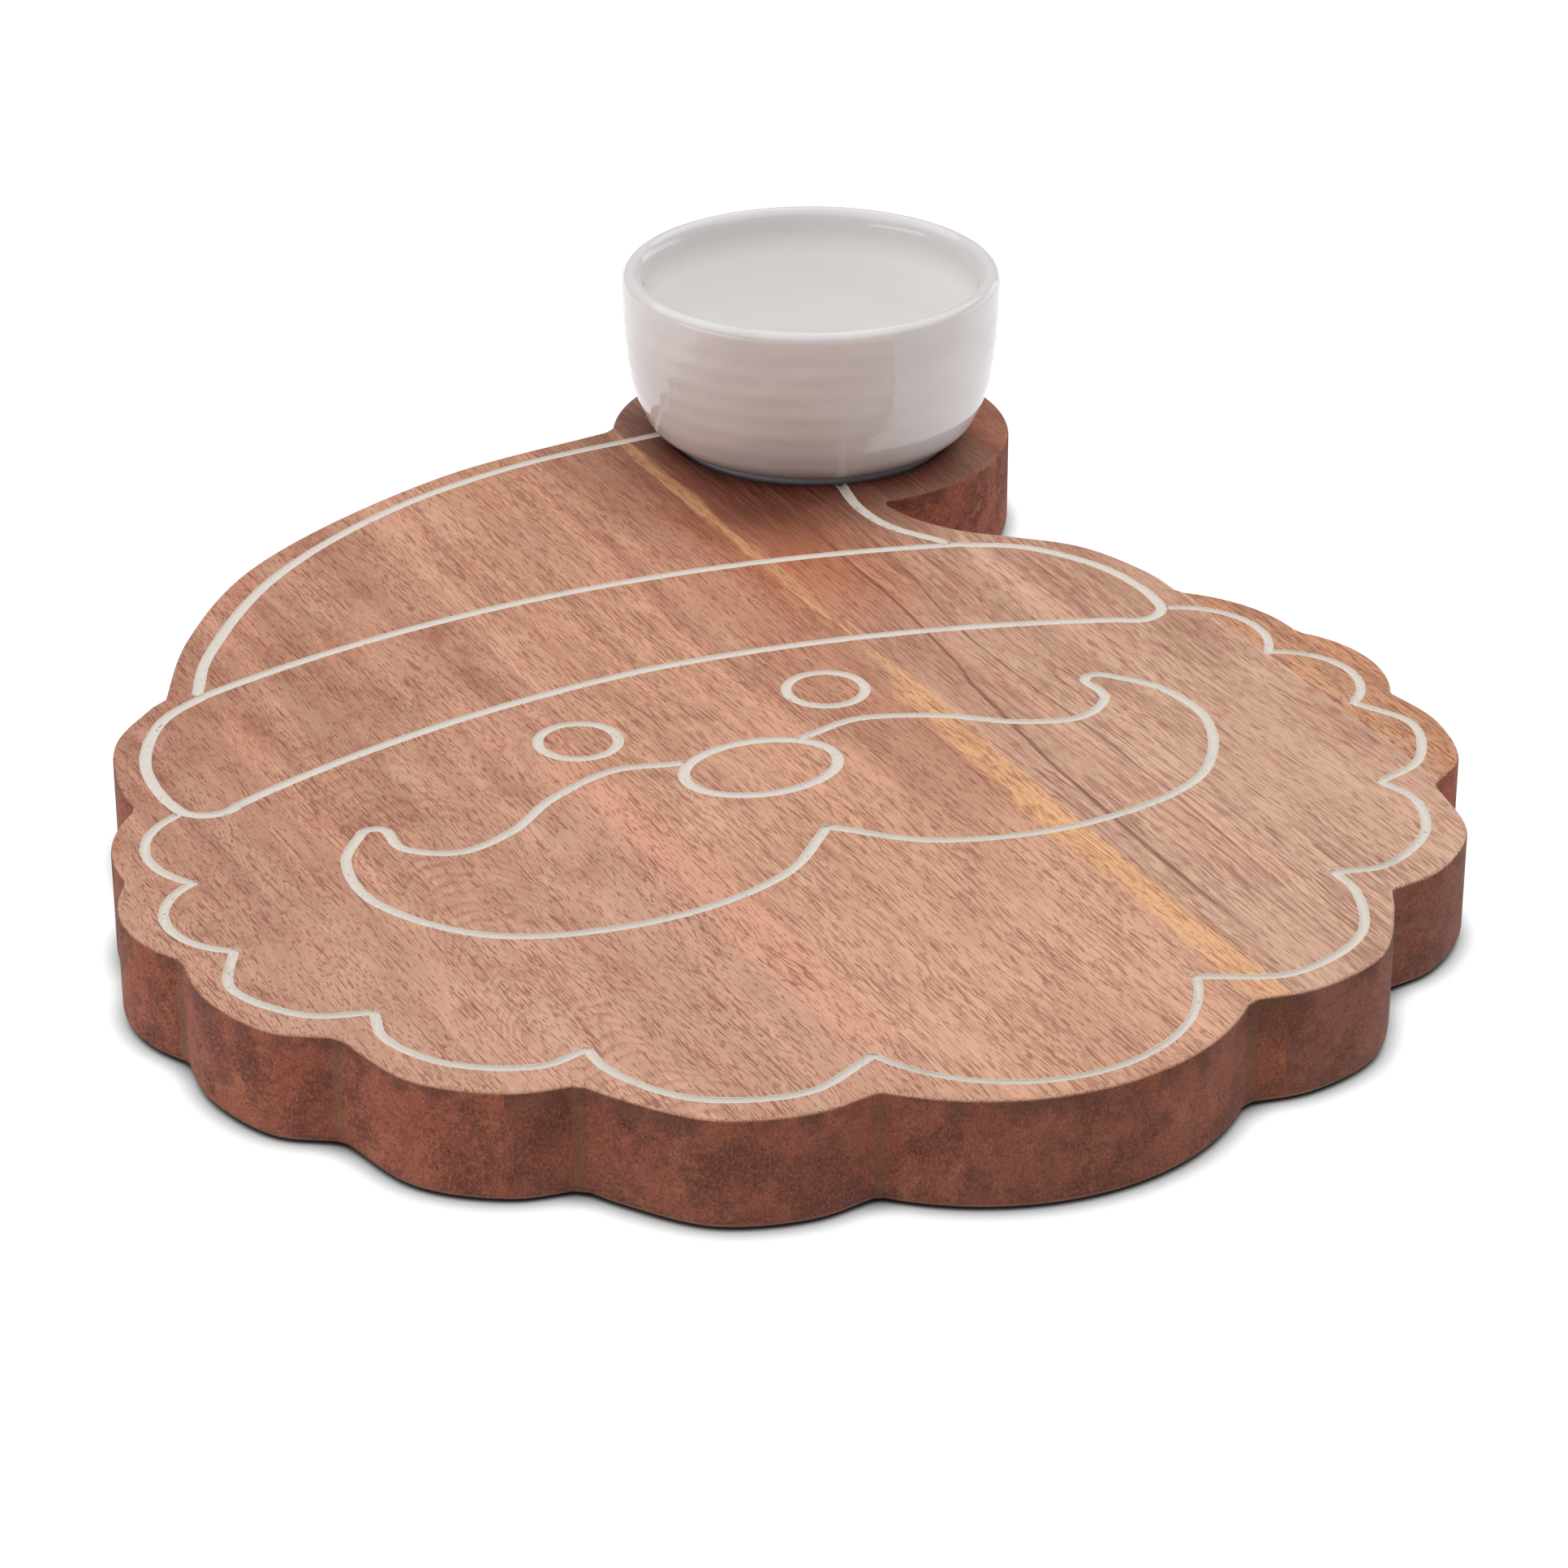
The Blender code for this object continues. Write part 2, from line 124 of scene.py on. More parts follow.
MOUSTACHE_UPPER_LINE = (
    (17.1, -19.7), (30.0, -17.0), (48.0, -24.0), (62.0, -34.5), (76.0, -38.4), (85.8, -31.5),
    (85.8, -22.5),
)
MOUSTACHE_TIP_LINE = ((85.8, -22.5), (87.8, -20.2), (91.0, -20.8))
MOUSTACHE_LOWER_LINE = (
    (91.0, -20.8), (99.0, -32.0), (100.4, -52.0), (84.0, -76.5), (50.0, -85.3), (18.0, -78.2),
    (0.0, -62.3),
)

OUTLINE_STEP = 1.2
SEAT_STEP = 1.46
GROOVE_STEP = 1.2
PAINT_STEP = 0.6
FLOOR_STEP = 0.3

GROOVE_HALF = 1.24
BEARD_GROOVE_HALF = 1.0
CHIN_GROOVE_HALF = 0.86
MOUSTACHE_GROOVE_HALF = 1.08
EYE_GROOVE_HALF = 1.12
NOSE_GROOVE_HALF = 1.22
GROOVE_DEEP = 0.62
CUT_BELOW_PAINT = 0.25
CUT_INTO_SEAT = 2.4
PAINT_INTO_SEAT = 0.95
PAINT_PAST_END = 0.35
PAINT_OVERLAP = 0.1


# --- Plan geometry ---


def round_point(centre, radii, angle):
    """The point of an ellipse at an angle."""
    return centre[0] + radii[0] * math.cos(angle), centre[1] + radii[1] * math.sin(angle)


def arc_through(start, middle, end, step):
    """Points along the circle through three points, from the first to the last."""
    (ax, ay), (bx, by), (cx, cy) = start, middle, end
    twice_area = 2 * (ax * (by - cy) + bx * (cy - ay) + cx * (ay - by))
    a2, b2, c2 = ax * ax + ay * ay, bx * bx + by * by, cx * cx + cy * cy
    ox = (a2 * (by - cy) + b2 * (cy - ay) + c2 * (ay - by)) / twice_area
    oy = (a2 * (cx - bx) + b2 * (ax - cx) + c2 * (bx - ax)) / twice_area
    radius = math.hypot(ax - ox, ay - oy)
    first = math.atan2(ay - oy, ax - ox)
    sweep = math.atan2(cy - oy, cx - ox) - first
    left_turn = (bx - ax) * (cy - ay) - (by - ay) * (cx - ax) > 0
    sweep = sweep % math.tau if left_turn else -(-sweep % math.tau)
    count = max(3, round(radius * abs(sweep) / step))
    return [
        round_point((ox, oy), (radius, radius), first + sweep * i / count) for i in range(count + 1)
    ]


def toward(start, end, share):
    """The point that lies a share of the way from one point to another."""
    return tuple(a + (b - a) * share for a, b in zip(start, end))


def at(start, end, first, last, time):
    """Where a point is at a time, on its way between two places that it has times for."""
    return tuple(((last - time) * a + (time - first) * b) / (last - first) for a, b in zip(start, end))


def curve_through(points, step):
    """Points along a smooth curve through the given ones (centripetal Catmull-Rom)."""
    if len(points) == 3:
        return arc_through(*points, step)
    ends = [toward(points[0], points[1], -1.0), *points, toward(points[-1], points[-2], -1.0)]
    found = [points[0]]
    for p0, p1, p2, p3 in zip(ends, ends[1:], ends[2:], ends[3:]):
        t1 = math.dist(p0, p1) ** 0.5
        t2 = t1 + math.dist(p1, p2) ** 0.5
        t3 = t2 + math.dist(p2, p3) ** 0.5
        count = max(2, round(math.dist(p1, p2) / step))
        for i in range(1, count + 1):
            t = t1 + (t2 - t1) * i / count
            a1, a2, a3 = at(p0, p1, 0.0, t1, t), at(p1, p2, t1, t2, t), at(p2, p3, t2, t3, t)
            found.append(at(at(a1, a2, 0.0, t2, t), at(a2, a3, t1, t3, t), t1, t2, t))
    return found


def mirrored(points):
    """The same points on the other side of the face, in the opposite order."""
    return [(-x, y) for x, y in reversed(points)]


def chained(*runs):
    """Runs of points joined end to end, without their shared points."""
    joined = list(runs[0])
    for run in runs[1:]:
        joined += run[1:]
    return joined


def ellipse(centre, radii, step):
    """Points round an ellipse, counterclockwise, without a repeated end point."""
    count = round(math.pi * (radii[0] + radii[1]) / step)
    return [round_point(centre, radii, math.tau * i / count) for i in range(count)]


def bobble_arc(start, end, step):
    """The bobble's rim, counterclockwise, between the directions of two points."""
    x, y = BOBBLE_CENTRE
    first = math.atan2(start[1] - y, start[0] - x)
    sweep = (math.atan2(end[1] - y, end[0] - x) - first) % math.tau
    count = round(BOBBLE_RADIUS * sweep / step)
    radii = (BOBBLE_RADIUS, BOBBLE_RADIUS)
    return [round_point((x, y), radii, first + sweep * i / count) for i in range(count + 1)]


def shortened(run, cut):
    """A run of points with a length cut off its end."""
    points = list(run)
    while True:
        length = math.dist(points[-1], points[-2])
        if length > cut:
            points[-1] = toward(points[-1], points[-2], cut / length)
            return points
        cut -= length
        points.pop()


def board_runs(step):
    """The board's edge, counterclockwise from the chin, each run cut short where a router's
    flat cuts off the hollow between two of them."""
    side = [curve_through(points, step) for points in SIDE_EDGE]
    runs = [
        curve_through(CHIN_EDGE, step), *side,
        curve_through(HAT_RIGHT_EDGE, step)[::-1],
        bobble_arc(HAT_RIGHT_EDGE[0], HAT_LEFT_EDGE[-1], step),
        curve_through(HAT_LEFT_EDGE, step)[::-1],
        *[mirrored(run) for run in reversed(side)],
    ]
    right_flats, hat_flats = (3.6, 1.2, 1.2, 2.0, 3.0, 3.0), (1.0, 1.5, 4.0, 4.0)
    left_flats = (3.0, 3.0, 2.6, 2.6, 3.2, 1.6)
    flats = (*right_flats, *hat_flats, *left_flats)
    return [
        shortened(shortened(run, flats[i] / 2)[::-1], flats[i - 1] / 2)[::-1]
        for i, run in enumerate(runs)
    ]


class Stroke:
    """One pass of the groove cutter: a line in plan, and how each of its ends stops."""

    def __init__(self, points, half=GROOVE_HALF, closed=False, longer=(0.0, 0.0),
                 square=(False, False)):
        self.points = points
        self.half = half
        self.closed = closed
        self.longer = longer
        self.square = square

    def mirror(self):
        points = [(-x, y) for x, y in self.points]
        return Stroke(points, self.half, self.closed, self.longer, self.square)


def groove_strokes():
    """Every groove's strokes, by the name of the CAD node that fills it."""
    overrun = 1.1
    to_band, to_nose, to_seat = 2.6, 3.4, 0.9
    step = GROOVE_STEP / 2

    def line(*curves):
        return chained(*[curve_through(points, step) for points in curves])

    def ring(centre, radii, half):
        return Stroke(ellipse(centre, radii, step), half, closed=True)

    chin = Stroke(line(CHIN_LINE), CHIN_GROOVE_HALF, longer=(overrun, overrun))
    side = [
        Stroke(line(points), BEARD_GROOVE_HALF, longer=(overrun, overrun)) for points in SIDE_LINE[:-1]
    ]
    side.append(Stroke(line(SIDE_LINE[-1]), BEARD_GROOVE_HALF, longer=(overrun, to_band)))
    band_half = line(BAND_TOP_LINE, BAND_END_LINE, BAND_CORNER_LINE, BAND_BOTTOM_LINE)
    whisker = Stroke(
        line(MOUSTACHE_UPPER_LINE, MOUSTACHE_TIP_LINE, MOUSTACHE_LOWER_LINE),
        MOUSTACHE_GROOVE_HALF, longer=(to_nose, overrun))
    hat_left, hat_right = (
        Stroke(line(points), longer=(to_band, to_seat), square=(False, True))
        for points in (HAT_LEFT_LINE, HAT_RIGHT_LINE)
    )
    eye_radii = (EYE_RADIUS, EYE_RADIUS)
    return {
        "hat_left_line": [hat_left],
        "hat_right_line": [hat_right],
        "hat_band_line": [Stroke(chained(band_half, mirrored(band_half))[:-1], closed=True)],
        "beard_line": [chin, *side, *[stroke.mirror() for stroke in side]],
        "moustache_line": [whisker, whisker.mirror()],
        "nose_ring": [ring(NOSE_CENTRE, NOSE_RADII, NOSE_GROOVE_HALF)],
        "left_eye_ring": [ring((-EYE_CENTRE_X, 0.0), eye_radii, EYE_GROOVE_HALF)],
        "right_eye_ring": [ring((EYE_CENTRE_X, 0.0), eye_radii, EYE_GROOVE_HALF)],
    }


# --- Mesh making ---


def resampled(points, closed, step):
    """A line's points spaced evenly, and the distance of each from the start."""
    line = points + points[:1] if closed else list(points)
    marks = [0.0]
    for start, end in zip(line, line[1:]):
        marks.append(marks[-1] + math.dist(start, end))
    count = max(3, round(marks[-1] / step))
    found, j = [], 0
    wanted = [marks[-1] * i / count for i in range(count if closed else count + 1)]
    for mark in wanted:
        while j < len(line) - 2 and marks[j + 1] < mark:
            j += 1
        found.append(toward(line[j], line[j + 1], (mark - marks[j]) / (marks[j + 1] - marks[j])))
    return found, wanted


def right_of(points, closed):
    """The mitred vector to the right of a line at each of its points."""
    size = len(points)
    found = []
    for i, point in enumerate(points):
        before = points[i - 1] if closed or i else point
        after = points[(i + 1) % size] if closed or i + 1 < size else point
        sides = []
        for start, end in ((before, point), (point, after)):
            length = math.dist(start, end)
            if length > 1e-9:
                sides.append(((end[1] - start[1]) / length, (start[0] - end[0]) / length))
        nx = sum(side[0] for side in sides) / len(sides)
        ny = sum(side[1] for side in sides) / len(sides)
        square = max(nx * nx + ny * ny, 0.25)
        found.append((nx / square, ny / square))
    return found


def skinned(rings, wraps):
    """A closed mesh of quads between rings of points; its ends are capped unless it wraps."""
    points = [point for ring in rings for point in ring]
    size, count = len(rings[0]), len(rings)
    faces = []
    for i in range(count if wraps else count - 1):
        low, high = i * size, (i + 1) % count * size
        for j in range(size):
            k = (j + 1) % size
            faces.append((low + j, low + k, high + k, high + j))
    if not wraps:
        faces += [tuple(range(size))[::-1], tuple(range((count - 1) * size, count * size))]
    return points, faces


def joined(meshes):
    """Several (points, faces) as one."""
    points, faces = [], []
    for more_points, more_faces in meshes:
        start = len(points)
        points += more_points
        faces += [tuple(start + i for i in face) for face in more_faces]
    return points, faces


def add_mesh(name, mesh_data, sharp_angle=35.0):
    """A mesh given in millimetres, in plan with y from the eye line, as an object in metres."""
    points, faces = mesh_data
    shape = bmesh.new()
    made = [shape.verts.new((x * MM, (y + EYE_LINE_Y) * MM, z * MM)) for x, y, z in points]
    for face in faces:
        shape.faces.new([made[i] for i in face])
    bmesh.ops.recalc_face_normals(shape, faces=shape.faces)
    mesh = bpy.data.meshes.new(name)
    shape.to_mesh(mesh)
    shape.free()
    mesh.shade_smooth()
    mesh.set_sharp_from_angle(angle=math.radians(sharp_angle))
    thing = bpy.data.objects.new(name, mesh)
    bpy.context.scene.collection.objects.link(thing)
    return thing


def apply_cuts(thing, cutters, keep):
    """Cuts the tools from an object, or keeps what is inside them, and makes that its mesh."""
    group = bpy.data.collections.new("tools")
    for cutter in cutters:
        group.objects.link(cutter)
    step = thing.modifiers.new("cut", "BOOLEAN")
    step.operation = "INTERSECT" if keep else "DIFFERENCE"
    step.solver = "EXACT"
    step.operand_type = "COLLECTION"
    step.collection = group
    bpy.context.view_layer.update()
    evaluated = thing.evaluated_get(bpy.context.evaluated_depsgraph_get())
    mesh = bpy.data.meshes.new_from_object(evaluated)
    thing.modifiers.clear()
    old = thing.data
    thing.data = mesh
    bpy.data.meshes.remove(old)
    bpy.data.collections.remove(group)


# --- Strips of wood ---


def board_blank():
    """The whole board before it is cut apart and grooved, with both edges rounded."""
    outline = [point for run in board_runs(OUTLINE_STEP) for point in run]
    right = right_of(outline, True)

    def ring(inset, z):
        return [(x - rx * inset, y - ry * inset, z) for (x, y), (rx, ry) in zip(outline, right)]

    turns = 6
    angles = [math.pi / 2 * i / turns for i in range(turns + 1)]
    shares = [(1 - math.sin(angle), 1 - math.cos(angle)) for angle in angles]
    bottom = [ring(BOTTOM_ROUND * inset, BOTTOM_ROUND * up) for inset, up in shares]
    top = [ring(TOP_ROUND * inset, BOARD_TOP - TOP_ROUND * down) for down, inset in shares]
    return skinned(bottom + top, False)


def groove_tool(stroke):
    """A bar along a stroke, which reaches out of the board's top and leaves room for paint."""
    rings = []
    for (x, y), (rx, ry), _, full in sampled(stroke, GROOVE_STEP, CUT_INTO_SEAT):
        half, floor = stroke.half * full, -GROOVE_DEEP * full - CUT_BELOW_PAINT
        right_half = [(half, 1.0), (half, -0.05), (0.8 * half, floor)]
        section = right_half + [(-side, up) for side, up in reversed(right_half)]
        rings.append([(x + rx * side, y + ry * side, BOARD_TOP + up) for side, up in section])
    return skinned(rings, stroke.closed)


def stroke_line(stroke, into_seat, more=0.0):
    """A stroke's points with both ends made longer, a square end by a length of its own."""
    points = list(stroke.points)
    if stroke.closed:
        return points
    for longer, square in zip(stroke.longer, stroke.square):
        reach = into_seat if square else longer + more
        new = toward(points[0], points[1], -reach / math.dist(points[0], points[1]))
        points = [new, *points][::-1]
    return points


def end_shape(mark, length, square):
    """How full a stroke is, from a least value to 1, where a round cutter lifts out at its ends."""
    full, least, run_out = 1.0, 0.25, 1.3
    for near, flat in ((mark, square[0]), (length - mark, square[1])):
        if near < run_out and not flat:
            full = min(full, math.sqrt(1 - (1 - near / run_out) ** 2))
    return max(full, least)


def sampled(stroke, step, into_seat, more=0.0):
    """Points evenly along a stroke, with what lies to the right, how far on, and how full it is."""
    points, marks = resampled(stroke_line(stroke, into_seat, more), stroke.closed, step)
    full = [1.0 if stroke.closed else end_shape(mark, marks[-1], stroke.square) for mark in marks]
    return list(zip(points, right_of(points, stroke.closed), marks, full))


def prism(outline, low, high):
    """An upright block with a given outline."""
    return skinned([[(x, y, z) for x, y in outline] for z in (low, high)], False)


FAR = 500.0
BOBBLE_STRIP_Y = 50.0
STRIP_EDGES = (-FAR, *GLUE_LINES, FAR)
STAVES = {
    name: (left, right, -FAR, FAR) for name, left, right in zip(STRIPS, STRIP_EDGES, STRIP_EDGES[1:])
}
STAVES["right_edge_stave"] = (GLUE_LINES[-1], FAR, -FAR, BOBBLE_STRIP_Y)
STAVES["bobble_edge_stave"] = (GLUE_LINES[-1], FAR, BOBBLE_STRIP_Y, FAR)


def boxes_meet(one, other):
    """Whether two objects' boxes overlap in plan."""
    (low, high), (other_low, other_high) = (
        (thing.bound_box[0], thing.bound_box[6]) for thing in (one, other))
    return all(low[k] < other_high[k] and other_low[k] < high[k] for k in (0, 1))


def mark_faces(mesh):
    """Marks the router's flats, burnished darker than the edge, and the grooves' own walls."""
    top_skin, deepest, rim_width, seat_gap, least_flat = 0.01, 1.1, 2.5, 0.2, 0.7
    runs = board_runs(OUTLINE_STEP)
    ends = [(Vector(runs[i - 1][-1]), Vector(run[0])) for i, run in enumerate(runs)]
    flats = [((start + end) / 2, (end - start).length / 2) for start, end in ends]
    outline = [point for run in runs for point in run]
    rim = KDTree(len(outline))
    for i, point in enumerate(outline):
        rim.insert((*point, 0.0), i)
    rim.balance()
    flat = mesh.attributes.new("flat", "FLOAT", "FACE")
    lined = mesh.attributes.new("lined", "FLOAT", "FACE")
    for face in mesh.polygons:
        place = Vector((face.center.x / MM, face.center.y / MM - EYE_LINE_Y))
        deep = BOARD_TOP - face.center.z / MM
        in_seat = (place - Vector(BOBBLE_CENTRE)).length < SEAT_RADIUS + seat_gap
        if top_skin < deep < deepest and not in_seat and rim.find((*place, 0.0))[2] > rim_width:
            lined.data[face.index].value = 1.0
        if abs(face.normal.z) <= 0.5 and any(
                reach > least_flat and (place - middle).length < reach for middle, reach in flats):
            flat.data[face.index].value = 1.0


def make_staves(strokes):
    """Each strip of the board, cut from the blank and grooved."""
    blank = board_blank()
    tools = [
        add_mesh(f"tool_{name}_{i}", groove_tool(stroke))
        for name, group in strokes.items() for i, stroke in enumerate(group)
    ]
    seat = ellipse(BOBBLE_CENTRE, (SEAT_RADIUS, SEAT_RADIUS), SEAT_STEP)
    tools.append(add_mesh("tool_seat", prism(seat, BOWL_LOW.z - SEAT_GAP, BOARD_TOP + 2)))
    staves = {}
    for node, (left, right, low, high) in STAVES.items():
        stave = add_mesh(f"{node}_wood", blank)
        corners = [(left, low), (right, low), (right, high), (left, high)]
        box = add_mesh("tool_box", prism(corners, -5.0, BOARD_TOP + 5))
        apply_cuts(stave, [box], keep=True)
        apply_cuts(stave, [tool for tool in tools if boxes_meet(stave, tool)], keep=False)
        bpy.data.objects.remove(box)
        stave.data.shade_smooth()
        stave.data.set_sharp_from_angle(angle=math.radians(16))
        mark_faces(stave.data)
        staves[node] = stave
    for tool in tools:
        bpy.data.objects.remove(tool)
    return staves


# --- Painted grooves ---


def ragged(mark, lane):
    """A small uneven offset along an edge, in millimetres: slow swells and a fine fray."""
    slow = noise.noise(Vector((mark / 9.0, lane * 7.3, 1.7)))
    fine = noise.noise(Vector((mark / 1.3, lane * 3.1, 9.2)))
    return 0.08 * slow + 0.10 * fine


def around(mark, length, lane, closed):
    """The uneven offset, made to meet itself where a closed line ends."""
    if not closed:
        return ragged(mark, lane)
    blend = mark / length
    return ragged(mark, lane) * (1 - blend) + ragged(mark - length, lane) * blend


def trough(share):
    """The depth of a round-nosed groove at a share, 0 to 1, of its half width."""
    return -GROOVE_DEEP * max(0.0, 1 - share * share) ** 0.75


class Floors:
    """The lines of every groove, which tell how deep the other grooves are at a place."""

    def __init__(self, strokes):
        self.marks = []
        for number, stroke in enumerate(strokes):
            for point, _, _, full in sampled(stroke, FLOOR_STEP, PAINT_INTO_SEAT):
                self.marks.append((number, point, stroke.half * full, full))
        self.tree = KDTree(len(self.marks))
        for i, (_, point, _, _) in enumerate(self.marks):
            self.tree.insert((*point, 0.0), i)
        self.tree.balance()

    def below(self, number, x, y):
        """The lowest floor of any groove but the numbered one, or 0 outside them."""
        lowest = 0.0
        for _, i, distance in self.tree.find_range((x, y, 0.0), GROOVE_HALF):
            other, _, half, full = self.marks[i]
            if other != number and distance < half:
                lowest = min(lowest, trough(distance / half) * full)
        return lowest


def paint_film(stroke, number, floors):
    """The paint in a groove: a film that lines it, frays over its edges and is cut by others."""
    samples = sampled(stroke, PAINT_STEP, PAINT_INTO_SEAT, PAINT_PAST_END)
    length = samples[-1][2]
    raised, tucked, buried = 0.02, -0.05, 0.2
    rings = []
    for (x, y), (rx, ry), mark, full in samples:
        over = [
            PAINT_OVERLAP + 0.2 * (1 - full)
            + around(mark, length, 2.0 * number + lane, stroke.closed) * full
            for lane in (0, 1)
        ]
        inside = stroke.half * full
        right, left = inside + over[0], -inside - over[1]
        section = [(right + 0.04, tucked), (right, raised), (inside - 0.03, raised / 2)]
        for share in (0.93, 0.8, 0.55, 0.28, 0.0, -0.28, -0.55, -0.8, -0.93):
            rough = 0.02 * noise.noise(Vector((mark / 0.9, share * 3.0, number)))
            section.append((inside * share, trough(share) * full + rough * (1 - share * share)))
        section += [(-inside + 0.03, raised / 2), (left, raised), (left - 0.04, tucked)]
        section.append((0.0, -GROOVE_DEEP * full - buried))
        ring = []
        for place, (side, up) in enumerate(section):
            px, py = x + rx * side, y + ry * side
            hidden = place in (0, len(section) - 2, len(section) - 1)
            low = floors.below(number, px, py)
            if low < 0:
                up = min(up, low - (0.22 if hidden else 0.0))
            ring.append((px, py, BOARD_TOP + up))
        rings.append(ring)
    return skinned(rings, stroke.closed)


def make_paint(strokes):
    """The paint of each groove, by the CAD node it stands for."""
    every = [stroke for group in strokes.values() for stroke in group]
    floors = Floors(every)
    return {
        node: add_mesh(f"{node}_paint", joined([
            paint_film(stroke, every.index(stroke), floors) for stroke in group
        ]), sharp_angle=60.0)
        for node, group in strokes.items()
    }


# --- Bowl ---


def bowl_section():
    """The bowl's section, from the middle of its underside out and over to its inside floor."""
    step = 0.8
    rim = BOWL_RADIUS - 0.12
    lip_round, lip_fall = 2.5, 4.8
    hollow = 1.2
    foot = [(radius, hollow) for radius in (0.0, 12.0, 24.0, 28.2)]
    ring = curve_through(((28.2, hollow), (29.2, 0.9), (30.0, 0.3), (31.0, 0.0)), 0.3)
    sole = [(31.0, 0.0), (32.5, 0.0), (34.0, 0.0), (34.7, 0.15)]
    neck = curve_through(((34.7, 0.15), (34.95, 1.0), (35.1, 2.3), (35.9, 2.9)), 0.3)
    wall = curve_through(
        ((35.9, 2.9), (37.6, 3.4), (41.3, 6.5), (44.8, 14.2), (46.8, 25.7),
         (rim - 0.05, BOWL_HEIGHT - 6.5), (rim, BOWL_HEIGHT - lip_round)), step)
    crest = rim - lip_round
    lip = [
        round_point((crest, BOWL_HEIGHT - lip_round), (lip_round, lip_round), math.radians(angle))
        for angle in range(0, 91, 10)
    ]
    roll = [
        (crest - (crest - 42.1) * math.sin(math.radians(angle)),
         BOWL_HEIGHT - lip_fall * (1 - math.cos(math.radians(angle))))
        for angle in range(0, 91, 6)
    ]
    inside = curve_through(
        (roll[-1], (41.75, 35.0), (41.2, 28.7), (39.5, 19.7), (35.6, 11.6), (28.0, 6.7),
         (14.0, 5.1), (0.0, 5.0)), step)
    return chained(foot, ring, sole, neck, wall, lip, roll, inside)


def ripple(angle, z):
    """How far the hand-thrown wall swells at a height and direction, in millimetres."""
    rings = 0.055 * math.sin(z * 1.15 + 0.35 * math.sin(angle * 2 + 0.7))
    sway = 0.05 * noise.noise(Vector((math.cos(angle) * 1.3, math.sin(angle) * 1.3, z * 0.11)))
    fine = 0.012 * noise.noise(Vector((math.cos(angle) * 6, math.sin(angle) * 6, z * 0.9)))
    low, high = 3.0, BOWL_HEIGHT - 4.0
    fade = max(0.0, min(1.0, (z - low) / 4.0, (high - z) / 6.0))
    return fade * (rings + sway + fine)


def make_bowl():
    """The bowl: its section turned about its axis, its wall uneven from throwing."""
    sides = 160
    section = bowl_section()
    points, faces = [(0.0, 0.0, section[0][1])], []
    for radius, z in section[1:-1]:
        for i in range(sides):
            angle = math.tau * i / sides
            swell = ripple(angle, z) if radius > 25.0 else 0.0
            points.append(((radius + swell) * math.cos(angle), (radius + swell) * math.sin(angle), z))
    points.append((0.0, 0.0, section[-1][1]))
    rows, last = len(section) - 2, len(points) - 1
    for i in range(sides):
        j = (i + 1) % sides
        faces.append((0, 1 + j, 1 + i))
        faces.append((last, 1 + (rows - 1) * sides + i, 1 + (rows - 1) * sides + j))
        for row in range(rows - 1):
            low, high = 1 + row * sides, 1 + (row + 1) * sides
            faces.append((low + i, low + j, high + j, high + i))
    placed = [
        (x + BOBBLE_CENTRE[0], y + BOBBLE_CENTRE[1], z + BOWL_LOW.z) for x, y, z in points
    ]
    return add_mesh("dip_bowl_glazed", (placed, faces), sharp_angle=80.0)


# --- Materials ---


def srgb(red, green, blue):
    """A colour as it is seen on a screen, 0 to 255, as the linear values shaders use."""
    return tuple(
        value / 255 / 12.92 if value <= 10.3 else ((value / 255 + 0.055) / 1.055) ** 2.4
        for value in (red, green, blue)
    )


